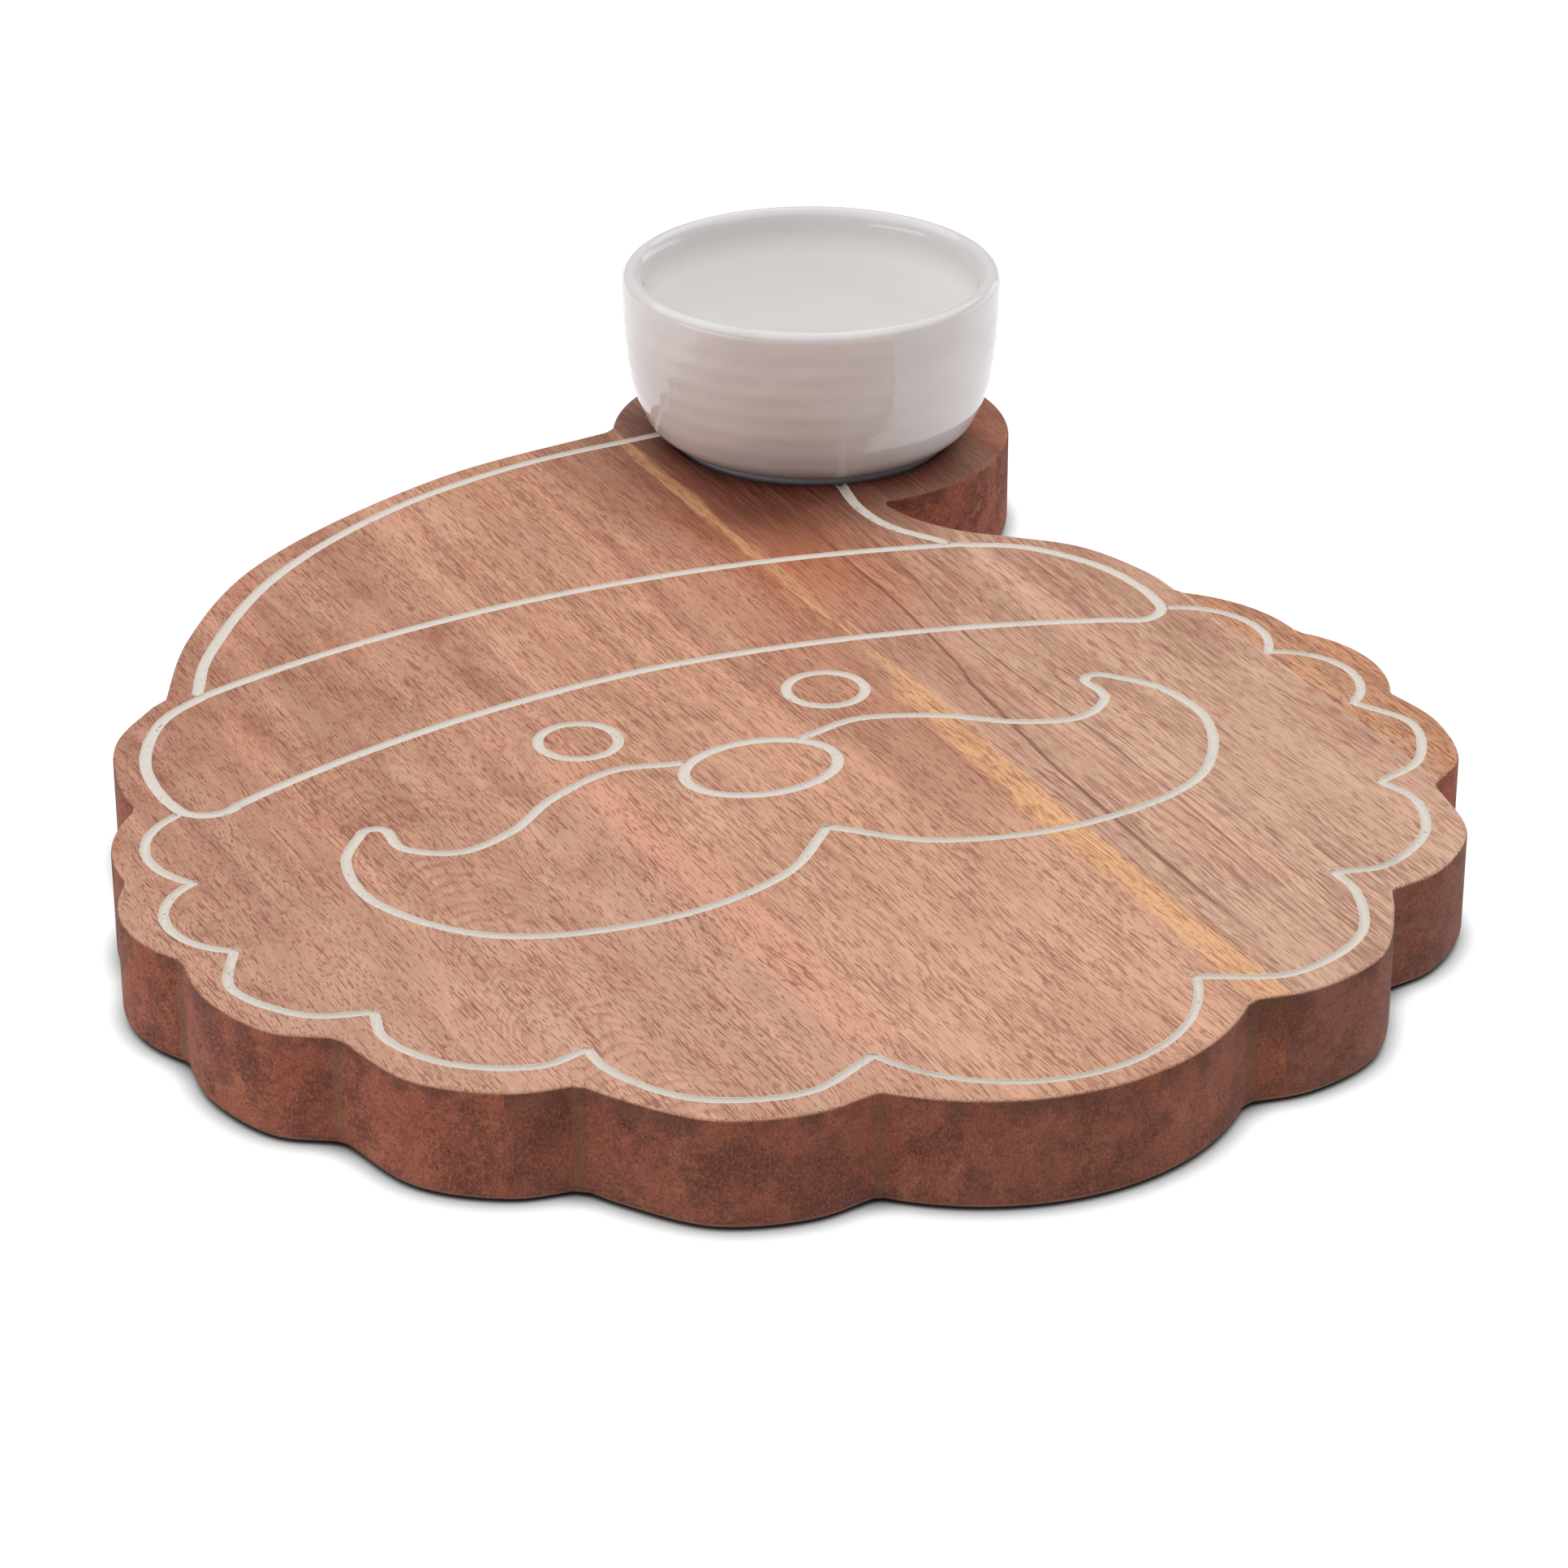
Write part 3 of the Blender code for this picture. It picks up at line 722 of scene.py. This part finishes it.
class Graph:
    """A material's nodes, made by short calls that return sockets."""

    def __init__(self, name):
        self.material = bpy.data.materials.new(name)
        self.material.use_nodes = True
        self.nodes = self.material.node_tree.nodes
        self.links = self.material.node_tree.links
        self.shader = self.nodes["Principled BSDF"]
        self.place = self.scaled(self.add("TexCoord").outputs["Object"], (1 / MM,) * 3)

    def put(self, socket, value):
        """Links a socket, or sets a number, vector or colour."""
        if isinstance(value, bpy.types.NodeSocket):
            self.links.new(value, socket)
        elif isinstance(value, tuple) and len(value) == 3 and socket.type == "RGBA":
            socket.default_value = (*value, 1.0)
        else:
            socket.default_value = value

    def add(self, kind, **inputs):
        """A new node, its inputs given by name."""
        node = self.nodes.new(f"ShaderNode{kind}")
        for name, value in inputs.items():
            self.put(node.inputs[name], value)
        return node

    def scaled(self, vector, scale, shift=(0.0, 0.0, 0.0)):
        return self.add("Mapping", Vector=vector, Scale=scale, Location=shift).outputs["Vector"]

    def math(self, operation, a, b=0.0, c=0.0):
        node = self.add("Math")
        node.operation = operation
        for socket, value in zip(node.inputs, (a, b, c)):
            self.put(socket, value)
        return node.outputs[0]

    def times(self, first, *others):
        for other in others:
            first = self.math("MULTIPLY", first, other)
        return first

    def linear(self, value, slope, start):
        return self.math("MULTIPLY_ADD", value, slope, start)

    def noise(self, vector, detail=2.0, roughness=0.5):
        node = self.add("TexNoise", Vector=vector, Scale=1.0, Detail=detail, Roughness=roughness)
        return node.outputs["Fac"]

    def cells(self, vector):
        return self.add("TexVoronoi", Vector=vector, Scale=1.0).outputs["Distance"]

    def between(self, value, low, high, to_low=0.0, to_high=1.0, smooth=True):
        """A value's place between two others, clamped."""
        node = self.add("MapRange")
        node.interpolation_type = "SMOOTHSTEP" if smooth else "LINEAR"
        for socket, given in zip(node.inputs, (value, low, high, to_low, to_high)):
            self.put(socket, given)
        return node.outputs["Result"]

    def mix(self, factor, a, b, blend="MIX"):
        node = self.add("Mix")
        node.data_type = "RGBA"
        node.blend_type = blend
        self.put(node.inputs["Factor"], factor)
        for socket, value in zip([s for s in node.inputs if s.type == "RGBA"], (a, b)):
            self.put(socket, value)
        return [s for s in node.outputs if s.type == "RGBA"][0]

    def parts(self, vector):
        return list(self.add("SeparateXYZ", Vector=vector).outputs)

    def whole(self, x, y, z):
        return self.add("CombineXYZ", X=x, Y=y, Z=z).outputs["Vector"]

    def curve(self, value, points):
        """A smooth function through (from, to) points whose values are all between 0 and 1."""
        node = self.add("FloatCurve", Value=value)
        line = node.mapping.curves[0]
        line.points[0].location = points[0]
        line.points[1].location = points[-1]
        for point in points[1:-1]:
            line.points.new(*point)
        node.mapping.update()
        return node.outputs["Value"]

    def bump(self, height, strength, distance):
        return self.add("Bump", Height=height, Strength=strength, Distance=distance).outputs["Normal"]

    def surface_normal(self):
        return self.add("NewGeometry").outputs["Normal"]

    def face_mark(self, name):
        node = self.add("Attribute")
        node.attribute_name = name
        return node.outputs["Fac"]

    def finish(self, **values):
        for name, value in values.items():
            self.put(self.shader.inputs[name.replace("_", " ").title().replace("Ior", "IOR")], value)
        return self.material


WOOD_PALE = srgb(232, 184, 156)
WOOD_MID = srgb(204, 152, 126)
WOOD_DEEP = srgb(178, 124, 100)
WOOD_RED = srgb(206, 136, 110)
WOOD_OLIVE = srgb(188, 148, 114)
WOOD_PINK = srgb(236, 168, 140)
WOOD_PORE = srgb(128, 66, 48)
WOOD_ORANGE = srgb(240, 184, 130)
WOOD_AMBER = srgb(186, 96, 44)
WOOD_BROWN = srgb(150, 88, 60)
# dark heartwood, made darker still as painted shadow of the bowl
WOOD_HEART_AND_BOWL_SHADE = srgb(72, 21, 11)
WOOD_LINE = srgb(112, 66, 48)
EDGE_DEEP = srgb(88, 33, 23)
EDGE_MID = srgb(131, 65, 47)
EDGE_PORE = srgb(48, 18, 14)
EDGE_TAN = srgb(160, 98, 70)
EDGE_GRIT = srgb(164, 92, 66)
EDGE_BURNISHED = srgb(92, 66, 44)
EDGE_SCORCHED = srgb(84, 44, 30)
# painted shade for the board's bottom edge, where it meets the floor
EDGE_FLOOR_SHADE = srgb(52, 26, 21)
PAINT_IN_SHADE = srgb(214, 205, 194)
ARCH_X = 68.0


class Timber(Graph):
    """Oiled open-pored hardwood, its grain along Y, as the patterns that its colours share."""

    def __init__(self, name, seed, wander, flow):
        super().__init__(name)
        self.x, self.y, self.z = self.parts(self.place)
        self.moved = self.scaled(self.place, (1.0, 1.0, 1.0), (seed * 61.0, seed * 37.0, seed * 53.0))
        x, y, z = self.parts(self.moved)
        sway = self.noise(self.scaled(self.moved, (0.011, 0.005, 0.011)))
        self.kinks = self.noise(self.scaled(self.moved, (0.07, 0.03, 0.07)))
        bend = self.linear(sway, wander, self.times(self.kinks, wander * 0.25))
        self.grain = self.whole(self.math("ADD", x, bend), y, z)
        self.bands = self.speckle(8.0, 250.0, detail=4.0)
        self.fibres = self.speckle(0.7, 22.0 / flow, detail=3.0)
        self.fine = self.speckle(0.24, 4.0 / flow)
        self.patches = self.speckle(12.0, 28.0, 1.0, 5.0, 0.7, bent=False)
        self.feather = self.linear(self.fibres, 8.0, self.linear(self.kinks, 6.0, -7.0))
        unbroken = self.between(self.bands, 0.30, 0.52, 0.7, 1.0)
        self.breaks = self.times(unbroken, self.between(self.fibres, 0.30, 0.52, 0.8, 1.0))
        holes = self.noise(self.scaled(self.moved, (2.4, 0.9, 1.5), (5.0, 2.0, 8.0)), roughness=0.6)
        self.open_ends = self.between(holes, 0.555, 0.64)

    def speckle(self, size, length, shift=0.0, detail=2.0, roughness=0.6, bent=True):
        """Spots of a size across and a length along the grain, which they follow where it bends."""
        scale = (1 / size, 1 / length, 1 / size)
        place = self.scaled(self.grain if bent else self.moved, scale, (shift, shift * 1.7, 0.0))
        return self.noise(place, detail, roughness)

    def late_wood(self, rings, rise, crest):
        """The late wood of growth rings: it deepens from a rise to a crest and then stops."""
        turn = self.math("FRACT", rings)
        return self.times(self.between(turn, rise, crest), self.between(turn, crest, 1.0, 1.0, 0.0))

    def ground(self, mottle):
        """Growth bands along the grain under clouds of pale, olive, pink, red and brown, paler toward
        the chin as a painted gradient of light.
        """
        color = self.mix(self.between(self.bands, 0.34, 0.64, 0.1, 1.0), WOOD_DEEP, WOOD_MID)
        cloud = self.speckle(24.0, 70.0, detail=4.0, bent=False)
        dusk = self.speckle(10.0, 18.0, 5.0, 6.0, 0.74, bent=False)
        for pattern, low, high, strength, other in (
            (cloud, 0.45, 0.72, 0.5, WOOD_PALE),
            (self.speckle(5.0, 160.0, 3.0, 3.0), 0.48, 0.66, 0.45, WOOD_OLIVE),
            (self.speckle(6.5, 120.0, 7.0, 3.0), 0.50, 0.66, 0.45, WOOD_PINK),
            (self.patches, 0.50, 0.70, mottle, WOOD_RED),
            (dusk, 0.48, 0.72, mottle, WOOD_BROWN),
            # Paler toward the chin: painted light, brighter toward the front of the board.
            (self.y, 70.0, -150.0, 0.42, WOOD_PALE),
        ):
            color = self.mix(self.between(pattern, low, high, 0.0, strength), color, other)
        return color

    def arched(self, color, strength):
        """Cathedral figure: thin arches of late wood, one behind another up the grain."""
        pitch, flatness, drop = 4.4, 20.0, 8.0
        dx = self.linear(self.kinks, 26.0, self.math("ADD", self.x, ARCH_X))
        rise = self.math("DIVIDE", self.times(dx, dx), flatness)
        rise = self.linear(self.patches, drop, self.math("ADD", self.y, rise))
        late = self.late_wood(self.math("DIVIDE", rise, pitch), 0.35, 0.92)
        worn = self.speckle(9.0, 24.0, 11.0, 3.0, bent=False)
        fade = self.times(
            self.between(self.math("ABSOLUTE", dx), 12.0, 27.0, strength, 0.0),
            self.between(self.y, 70.0, 52.0), self.between(worn, 0.42, 0.56))
        return self.mix(self.times(late, fade), color, WOOD_BROWN)

    def off_path(self, path):
        """How far to the right of a path of (y, x) points a place is, in millimetres."""
        low, high = path[0][0], path[-1][0]
        sides = [x for _, x in path]
        left, right = min(sides) - 1.0, max(sides) + 1.0
        along = self.between(self.y, low, high, smooth=False)
        points = [((y - low) / (high - low), (x - left) / (right - left)) for y, x in path]
        centre = self.between(self.curve(along, points), 0.0, 1.0, left, right, smooth=False)
        return self.math("SUBTRACT", self.x, centre)

    def streaked(self, color, path, left, right, ramp, other, strength):
        """A streak of another colour: how far it reaches to each side, and how soon it ends."""
        low, high = path[0][0], path[-1][0]
        raggedness = min(1.0, 0.12 + (left + right) / 14)
        off = self.math("ADD", self.off_path(path), self.times(self.feather, raggedness))
        across = self.times(
            self.between(off, -left, -left * 0.25, 0.0, strength),
            self.between(off, right * 0.25, right, 1.0, 0.0))
        ends = self.times(
            self.between(self.y, low, low + ramp), self.between(self.y, high - ramp, high, 1.0, 0.0))
        return self.mix(self.times(across, ends, self.breaks), color, other)

    def lined(self, color, strength):
        """Growth lines: thin dark lines that follow the grain and break up."""
        drift = self.speckle(18.0, 450.0, detail=2.5, roughness=0.55)
        late = self.late_wood(self.times(drift, 26.0), 0.45, 0.95)
        patchy = self.between(self.speckle(33.0, 80.0, 9.0, 3.0, bent=False), 0.40, 0.62)
        return self.mix(self.times(late, strength, patchy), color, WOOD_LINE)

    def hatched(self, color, wool):
        """Fine fibres, darker and paler by turns."""
        color = self.mix(self.between(self.fibres, 0.34, 0.62, 0.36 * wool, 0.0), color, WOOD_DEEP)
        color = self.mix(self.between(self.fibres, 0.52, 0.72, 0.0, 0.30 * wool), color, WOOD_PALE)
        return self.mix(self.between(self.fine, 0.36, 0.54, 0.26 * wool, 0.0), color, WOOD_BROWN)

    def pore_marks(self, length, rare):
        """Where open pores show, as short and long dashes that crowd together in places."""
        crowd = self.speckle(12.0, 45.0, 6.0, 3.0, bent=False)
        sparse = self.between(crowd, 0.32, 0.66, 0.60 + rare, 0.54 + rare)
        full = self.math("ADD", sparse, 0.05)
        short_dashes = self.speckle(0.28, 1.4 * length, 2.0, 1.0, 0.5)
        long_dashes = self.speckle(0.34, 3.6 * length, 4.0, 1.5, 0.5)
        return self.math(
            "MAXIMUM", self.between(short_dashes, sparse, full), self.between(long_dashes, sparse, full))

    def cut_edge(self, tones_and_light):
        """End grain, which takes up more oil and is stained, gritty and full of open pores."""
        blotch = self.speckle(13.0, 13.0, detail=5.0, roughness=0.68, bent=False)
        stain = self.speckle(4.5, 7.0, 13.0, 4.0, 0.7, bent=False)
        grit = self.noise(self.scaled(self.moved, (1.7, 1.0, 1.2)), 3.0, 0.72)
        color = self.mix(self.between(blotch, 0.40, 0.60), EDGE_DEEP, EDGE_MID)
        near_top = self.between(self.z, BOARD_TOP - 5.5, BOARD_TOP - 1.5, 0.0, 0.75)
        scorch = self.times(near_top, self.between(blotch, 0.62, 0.40))
        for amount, other in (
            (self.between(stain, 0.52, 0.72, 0.0, 0.55), EDGE_TAN),
            (self.between(stain, 0.44, 0.28, 0.0, 0.42), EDGE_PORE),
            (self.between(grit, 0.44, 0.66, 0.0, 0.5), EDGE_GRIT),
            (self.times(self.open_ends, 0.62), EDGE_PORE),
            (self.times(self.face_mark("flat"), 0.5), EDGE_BURNISHED),
            (scorch, EDGE_SCORCHED),
        ):
            color = self.mix(amount, color, other)
        # Each strip's edge is toned lighter or darker, changing along y: partly its own colour, partly
        # painted light and shade for how the light falls on each side.
        shade = self.between(self.y, 10.0, 80.0, *tones_and_light)
        return self.mix(1.0, color, self.whole(shade, shade, shade), "MULTIPLY")


def wood(name, seed, pore_length, flow, wander, mottle, pores, lines, tone, wool, edge_tones_and_light,
         rare=0.0, arches=0.0, streaks=()):
    """One strip's wood: its face, its cut edge, and the paint that has run into its grooves."""
    timber = Timber(name, seed, wander, flow)
    color = timber.arched(timber.ground(mottle), arches)
    color = timber.mix(1.0, color, tone, "MULTIPLY")
    for streak in streaks:
        color = timber.streaked(color, *streak)
    color = timber.hatched(timber.lined(color, lines), wool)
    marks = timber.pore_marks(pore_length, rare)
    color = timber.mix(timber.times(marks, pores), color, WOOD_PORE)

    facing = timber.parts(timber.surface_normal())[2]
    upright = timber.between(timber.math("ABSOLUTE", facing), 0.30, 0.85, 1.0, 0.0)
    color = timber.mix(timber.times(upright, 0.92), color, timber.cut_edge(edge_tones_and_light))
    # Painted shade: the lowest few millimetres of the board darken toward the floor.
    color = timber.mix(timber.between(timber.z, 0.5, 2.6, 0.62, 0.0), color, EDGE_FLOOR_SHADE)
    color = timber.mix(timber.face_mark("lined"), color, PAINT_IN_SHADE)

    rough = timber.linear(marks, 0.22, timber.between(timber.fibres, 0.2, 0.8, 0.46, 0.56))
    rough = timber.linear(upright, 0.2, rough)
    relief = timber.linear(marks, -1.0, timber.times(timber.fine, 0.3))
    relief = timber.linear(timber.times(timber.open_ends, upright), -1.0, relief)
    normal = timber.bump(relief, 0.25, 0.0002)
    return timber.finish(base_color=color, roughness=rough, normal=normal, ior=1.36)


def paint():
    """Matt off-white paint with grimy smudges, and painted shade in patches along its deepest floor."""
    graph = Graph("groove_paint")
    grime = graph.noise(graph.scaled(graph.place, (0.05, 0.05, 0.05)), 5.0, 0.7)
    grain = graph.noise(graph.scaled(graph.place, (1.6, 1.6, 1.6)), 3.0, 0.6)
    clean, dirty = srgb(222, 214, 204), srgb(184, 174, 164)
    color = graph.mix(graph.between(grime, 0.58, 0.78, 0.0, 0.5), clean, dirty)
    color = graph.mix(graph.between(grain, 0.34, 0.55, 0.22, 0.0), color, srgb(194, 183, 171))
    height = graph.parts(graph.place)[2]
    # Painted shade: darker patches along the groove's deepest floor.
    floor = graph.between(height, BOARD_TOP - GROOVE_DEEP, BOARD_TOP - GROOVE_DEEP + 0.05, 1.0, 0.0)
    pits = graph.noise(graph.scaled(graph.place, (1.1, 0.5, 1.1)), roughness=0.7)
    groove_floor_shade = graph.times(
        floor, graph.between(pits, 0.56, 0.66, 0.0, 0.75), graph.between(grime, 0.42, 0.55))
    color = graph.mix(groove_floor_shade, color, srgb(120, 96, 82))
    normal = graph.bump(grain, 0.5, 0.00015)
    return graph.finish(base_color=color, roughness=0.8, normal=normal)


def glaze():
    """White glaze over stoneware, with painted shade and light in it, bare and rough where the foot
    stood in the kiln.
    """
    graph = Graph("bowl_glaze")
    x, y, z = graph.parts(graph.place)
    dx = graph.math("SUBTRACT", x, BOWL_CENTRE.x)
    dy = graph.math("SUBTRACT", y, BOWL_CENTRE.y)
    height = graph.math("SUBTRACT", z, BOWL_LOW.z)
    pool = graph.noise(graph.scaled(graph.place, (0.04, 0.04, 0.09)), 3.0)
    # The outside is greyer than the inside: painted shade on the outside wall.
    outside = graph.mix(graph.between(pool, 0.35, 0.70), srgb(224, 219, 219), srgb(217, 211, 211))
    reach = graph.math("POWER", graph.math("ADD", graph.times(dx, dx), graph.times(dy, dy)), 0.5)
    wall = graph.math("MINIMUM", graph.linear(height, 0.08, 40.5), graph.linear(height, 1.2, 27.0))
    inside = graph.between(graph.math("SUBTRACT", reach, wall), -1.5, 1.5, 1.0, 0.0)
    # The inside is white as painted light, and greys toward the lip as painted shade that dims its
    # highlight.
    white = graph.mix(graph.between(height, 33.0, 42.0), srgb(243, 241, 239), srgb(219, 214, 214))
    color = graph.mix(inside, outside, white)
    specks = graph.cells(graph.scaled(graph.place, (0.11, 0.11, 0.11)))
    color = graph.mix(graph.between(specks, 0.018, 0.032, 0.28, 0.0), color, srgb(120, 96, 84))
    clay = graph.noise(graph.scaled(graph.place, (1.2, 1.2, 1.2)), 4.0, 0.7)
    # The bare foot: bare clay, tinted blue-grey as painted shade where the bowl sits in its seat.
    bare_clay_and_shade = graph.mix(clay, srgb(190, 188, 196), srgb(162, 158, 166))
    edge = graph.noise(graph.scaled(graph.place, (0.15, 0.15, 0.15)))
    bare = graph.between(height, 2.2, graph.between(edge, 0.3, 0.7, 2.7, 3.0), 1.0, 0.0)
    color = graph.mix(bare, color, bare_clay_and_shade)
    rough = graph.between(bare, 0.0, 1.0, 0.03, 0.75)
    skin = graph.noise(graph.scaled(graph.place, (0.12, 0.12, 0.2)))
    normal = graph.bump(skin, 0.06, 0.0008)
    return graph.finish(base_color=color, roughness=rough, normal=normal, ior=1.55)


def floor_surface():
    """A white sweep lit from within, its glow dimmed by ambient occlusion into a painted contact shadow
    where something stands on it.
    """
    graph = Graph("floor")
    shadow_reach = 0.0075
    # Painted contact shadow: ambient occlusion dims the floor's glow beside anything standing on it.
    painted_shadow_ao = graph.add("AmbientOcclusion", Distance=shadow_reach)
    painted_shadow_ao.samples = 12
    glow = graph.between(painted_shadow_ao.outputs["AO"], 0.29, 0.80, 0.0, 0.95, smooth=False)
    return graph.finish(
        base_color=(0.12, 0.12, 0.12), roughness=0.95,
        emission_color=(1.0, 1.0, 1.0), emission_strength=glow)


# --- Assembly ---

# The lines that the streaks follow, as (y, x), in millimetres
ORANGE_PATH = (
    (-185.0, 47.0), (-150.0, 47.5), (-120.0, 46.5), (-90.0, 45.5), (-60.0, 47.0), (-25.0, 47.0),
    (5.0, 49.0),
)
THREAD_PATH = ((-40.0, 46.0), (0.0, 49.6), (60.0, 49.6), (170.0, 50.0))
DUSK_PATH = ((-100.0, 38.0), (-20.0, 36.0), (60.0, 35.0), (110.0, 36.0), (190.0, 38.0))
AMBER_PATH = ((5.0, 50.0), (60.0, 51.0), (170.0, 56.0))
SEAM_BROWN_PATH = ((-90.0, 58.0), (-20.0, 60.0), (60.0, 62.0), (150.0, 66.0))
# Dark heartwood near the bowl, which also stands for painted shadow of the bowl on the board in front of
# it
HEART_AND_BOWL_SHADE_PATH = ((55.0, 84.0), (120.0, 80.0), (210.0, 80.0))
DARK_PATH = (
    (-150.0, 56.5), (-59.0, 58.4), (-42.0, 59.7), (-16.0, 62.0), (-5.0, 64.0), (30.0, 67.0),
    (160.0, 72.0),
)
THIN_PATH = ((-130.0, 73.0), (-60.0, 75.0), (0.0, 73.5), (50.0, 78.0), (160.0, 84.0))
PINK_PATH = ((-185.0, -35.0), (-100.0, -34.0), (-45.0, -36.0), (10.0, -42.0))
EDGE_ORANGE_PATH = ((-120.0, 138.0), (-80.0, 144.0), (-40.0, 148.0), (20.0, 150.0))

# A streak: its path, its reach to the left and right, how soon it ends, its colour and strength
WOODS = {
    "left_edge_stave": dict(
        seed=1, pore_length=1.6, flow=2.2, wander=8.0, mottle=0.7, pores=0.66, lines=0.15,
        tone=(0.92, 0.95, 0.97), wool=0.4, edge_tones_and_light=(1.13, 1.15), rare=0.03),
    "left_stave": dict(
        seed=2, pore_length=2.3, flow=1.8, wander=8.0, mottle=0.68, pores=0.66, lines=0.08,
        tone=(0.97, 0.99, 1.0), wool=0.4, edge_tones_and_light=(0.92, 0.9), rare=0.03, arches=0.34,
        streaks=((PINK_PATH, 10.0, 13.0, 40.0, WOOD_PINK, 0.5),)),
    "middle_stave": dict(
        seed=3, pore_length=2.8, flow=1.1, wander=8.0, mottle=0.22, pores=0.6, lines=0.18,
        tone=(1.08, 1.10, 1.07), wool=0.5, edge_tones_and_light=(0.84, 0.9), rare=0.01,
        streaks=(
            (DUSK_PATH, 16.0, 15.0, 40.0, WOOD_BROWN, 0.38),
            (AMBER_PATH, 15.0, 12.0, 60.0, WOOD_AMBER, 0.66),
            (HEART_AND_BOWL_SHADE_PATH, 54.0, 90.0, 48.0, WOOD_HEART_AND_BOWL_SHADE, 1.0),
            (ORANGE_PATH, 6.5, 8.0, 22.0, WOOD_ORANGE, 0.88),
            (THREAD_PATH, 2.2, 3.0, 20.0, WOOD_ORANGE, 0.6),
        )),
    "right_stave": dict(
        seed=4, pore_length=4.0, flow=0.9, wander=10.0, mottle=0.2, pores=0.58, lines=0.42,
        tone=(1.05, 1.18, 1.23), wool=0.5, edge_tones_and_light=(0.78, 1.24), rare=0.01,
        streaks=(
            (SEAM_BROWN_PATH, 13.0, 16.0, 50.0, WOOD_BROWN, 0.22),
            (AMBER_PATH, 12.0, 42.0, 60.0, WOOD_AMBER, 0.7),
            (HEART_AND_BOWL_SHADE_PATH, 54.0, 90.0, 48.0, WOOD_HEART_AND_BOWL_SHADE, 1.0),
            (ORANGE_PATH, 5.0, 5.0, 22.0, WOOD_ORANGE, 0.8),
            (THREAD_PATH, 2.0, 3.0, 20.0, WOOD_ORANGE, 0.6),
            (DARK_PATH, 0.8, 0.8, 25.0, WOOD_LINE, 0.8),
            (THIN_PATH, 0.6, 0.6, 25.0, WOOD_LINE, 0.6),
        )),
    "right_edge_stave": dict(
        seed=5, pore_length=3.0, flow=1.0, wander=14.0, mottle=0.3, pores=0.68, lines=0.3,
        tone=(1.0, 0.99, 0.84), wool=0.5, edge_tones_and_light=(1.25, 1.25),
        streaks=((EDGE_ORANGE_PATH, 9.0, 9.0, 25.0, srgb(228, 152, 104), 0.35),)),
    # The bobble's strip is toned much darker, partly for its darker wood and partly as painted shade
    # around the bowl.
    "bobble_edge_stave": dict(
        seed=6, pore_length=2.5, flow=1.2, wander=12.0, mottle=0.5, pores=0.5, lines=0.3,
        tone=(0.66, 0.46, 0.42), wool=0.5, edge_tones_and_light=(1.25, 1.25)),
}


def keep_within_cad(thing):
    """Holds a piece's points inside the CAD model's own box, from which they differ by a hair."""
    for vertex in thing.data.vertices:
        for axis in range(3):
            vertex.co[axis] = min(max(vertex.co[axis], CAD_LOW[axis]), CAD_HIGH[axis])


def dress(thing, surface, node, body):
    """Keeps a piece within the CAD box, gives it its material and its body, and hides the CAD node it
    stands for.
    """
    keep_within_cad(thing)
    thing.data.materials.append(surface)
    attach(thing, body)
    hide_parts(node)


strokes = groove_strokes()
for node, stave in make_staves(strokes).items():
    dress(stave, wood(f"{node}_grain", **WOODS[node]), node, "board")
groove_paint = paint()
for node, film in make_paint(strokes).items():
    dress(film, groove_paint, node, "board")
dress(make_bowl(), glaze(), "dip_bowl", "bowl")


# --- Stage, light and camera ---


def make_floor():
    half = 4.0
    mesh = bpy.data.meshes.new("floor")
    corners = [(-half, -half, 0), (half, -half, 0), (half, half, 0), (-half, half, 0)]
    mesh.from_pydata(corners, [], [(0, 1, 2, 3)])
    floor = bpy.data.objects.new("floor", mesh)
    bpy.context.scene.collection.objects.link(floor)
    mesh.materials.append(floor_surface())


def aimed(place, target):
    """Where a light or camera at a place is turned to face a target."""
    return (Vector(target) - Vector(place)).to_track_quat("-Z", "Y").to_matrix().to_4x4()


def add_light(name, place, target, size, power):
    light = bpy.data.lights.new(name, "AREA")
    light.shape = "RECTANGLE"
    light.size, light.size_y = size
    light.energy = power
    thing = bpy.data.objects.new(name, light)
    thing.matrix_world = Matrix.Translation(place) @ aimed(place, target)
    bpy.context.scene.collection.objects.link(thing)


def make_world(strength):
    world = bpy.data.worlds.new("studio")
    world.use_nodes = True
    background = world.node_tree.nodes["Background"]
    background.inputs["Color"].default_value = (1.0, 1.0, 1.0, 1.0)
    background.inputs["Strength"].default_value = strength
    bpy.context.scene.world = world


def make_camera():
    azimuth, elevation = math.radians(-26.22), math.radians(26.28)
    distance = 1.0998
    aim = Vector((0.0008, -0.042, BOARD_TOP * MM))
    back = Vector((
        math.sin(azimuth) * math.cos(elevation), -math.cos(azimuth) * math.cos(elevation),
        math.sin(elevation)))
    camera = bpy.data.cameras.new("camera")
    camera.sensor_width = 36.0
    camera.lens = 115.47
    camera.clip_start, camera.clip_end = 0.05, 30.0
    thing = bpy.data.objects.new("camera", camera)
    place = aim + back * distance
    thing.matrix_world = Matrix.Translation(place) @ aimed(place, aim)
    bpy.context.scene.collection.objects.link(thing)
    bpy.context.scene.camera = thing


make_floor()
make_world(0.34)
add_light("overhead", (0.05, 0.20, 1.25), (0.0, 0.0, 0.0), (3.0, 2.4), 26.2)
add_light("left", (-1.4, 0.1, 0.26), (0.0, 0.0, 0.02), (1.2, 0.44), 3.3)
add_light("right", (1.4, 0.3, 0.26), (0.0, 0.0, 0.02), (1.2, 0.44), 1.9)
make_camera()
bpy.context.scene.view_settings.view_transform = "Standard"
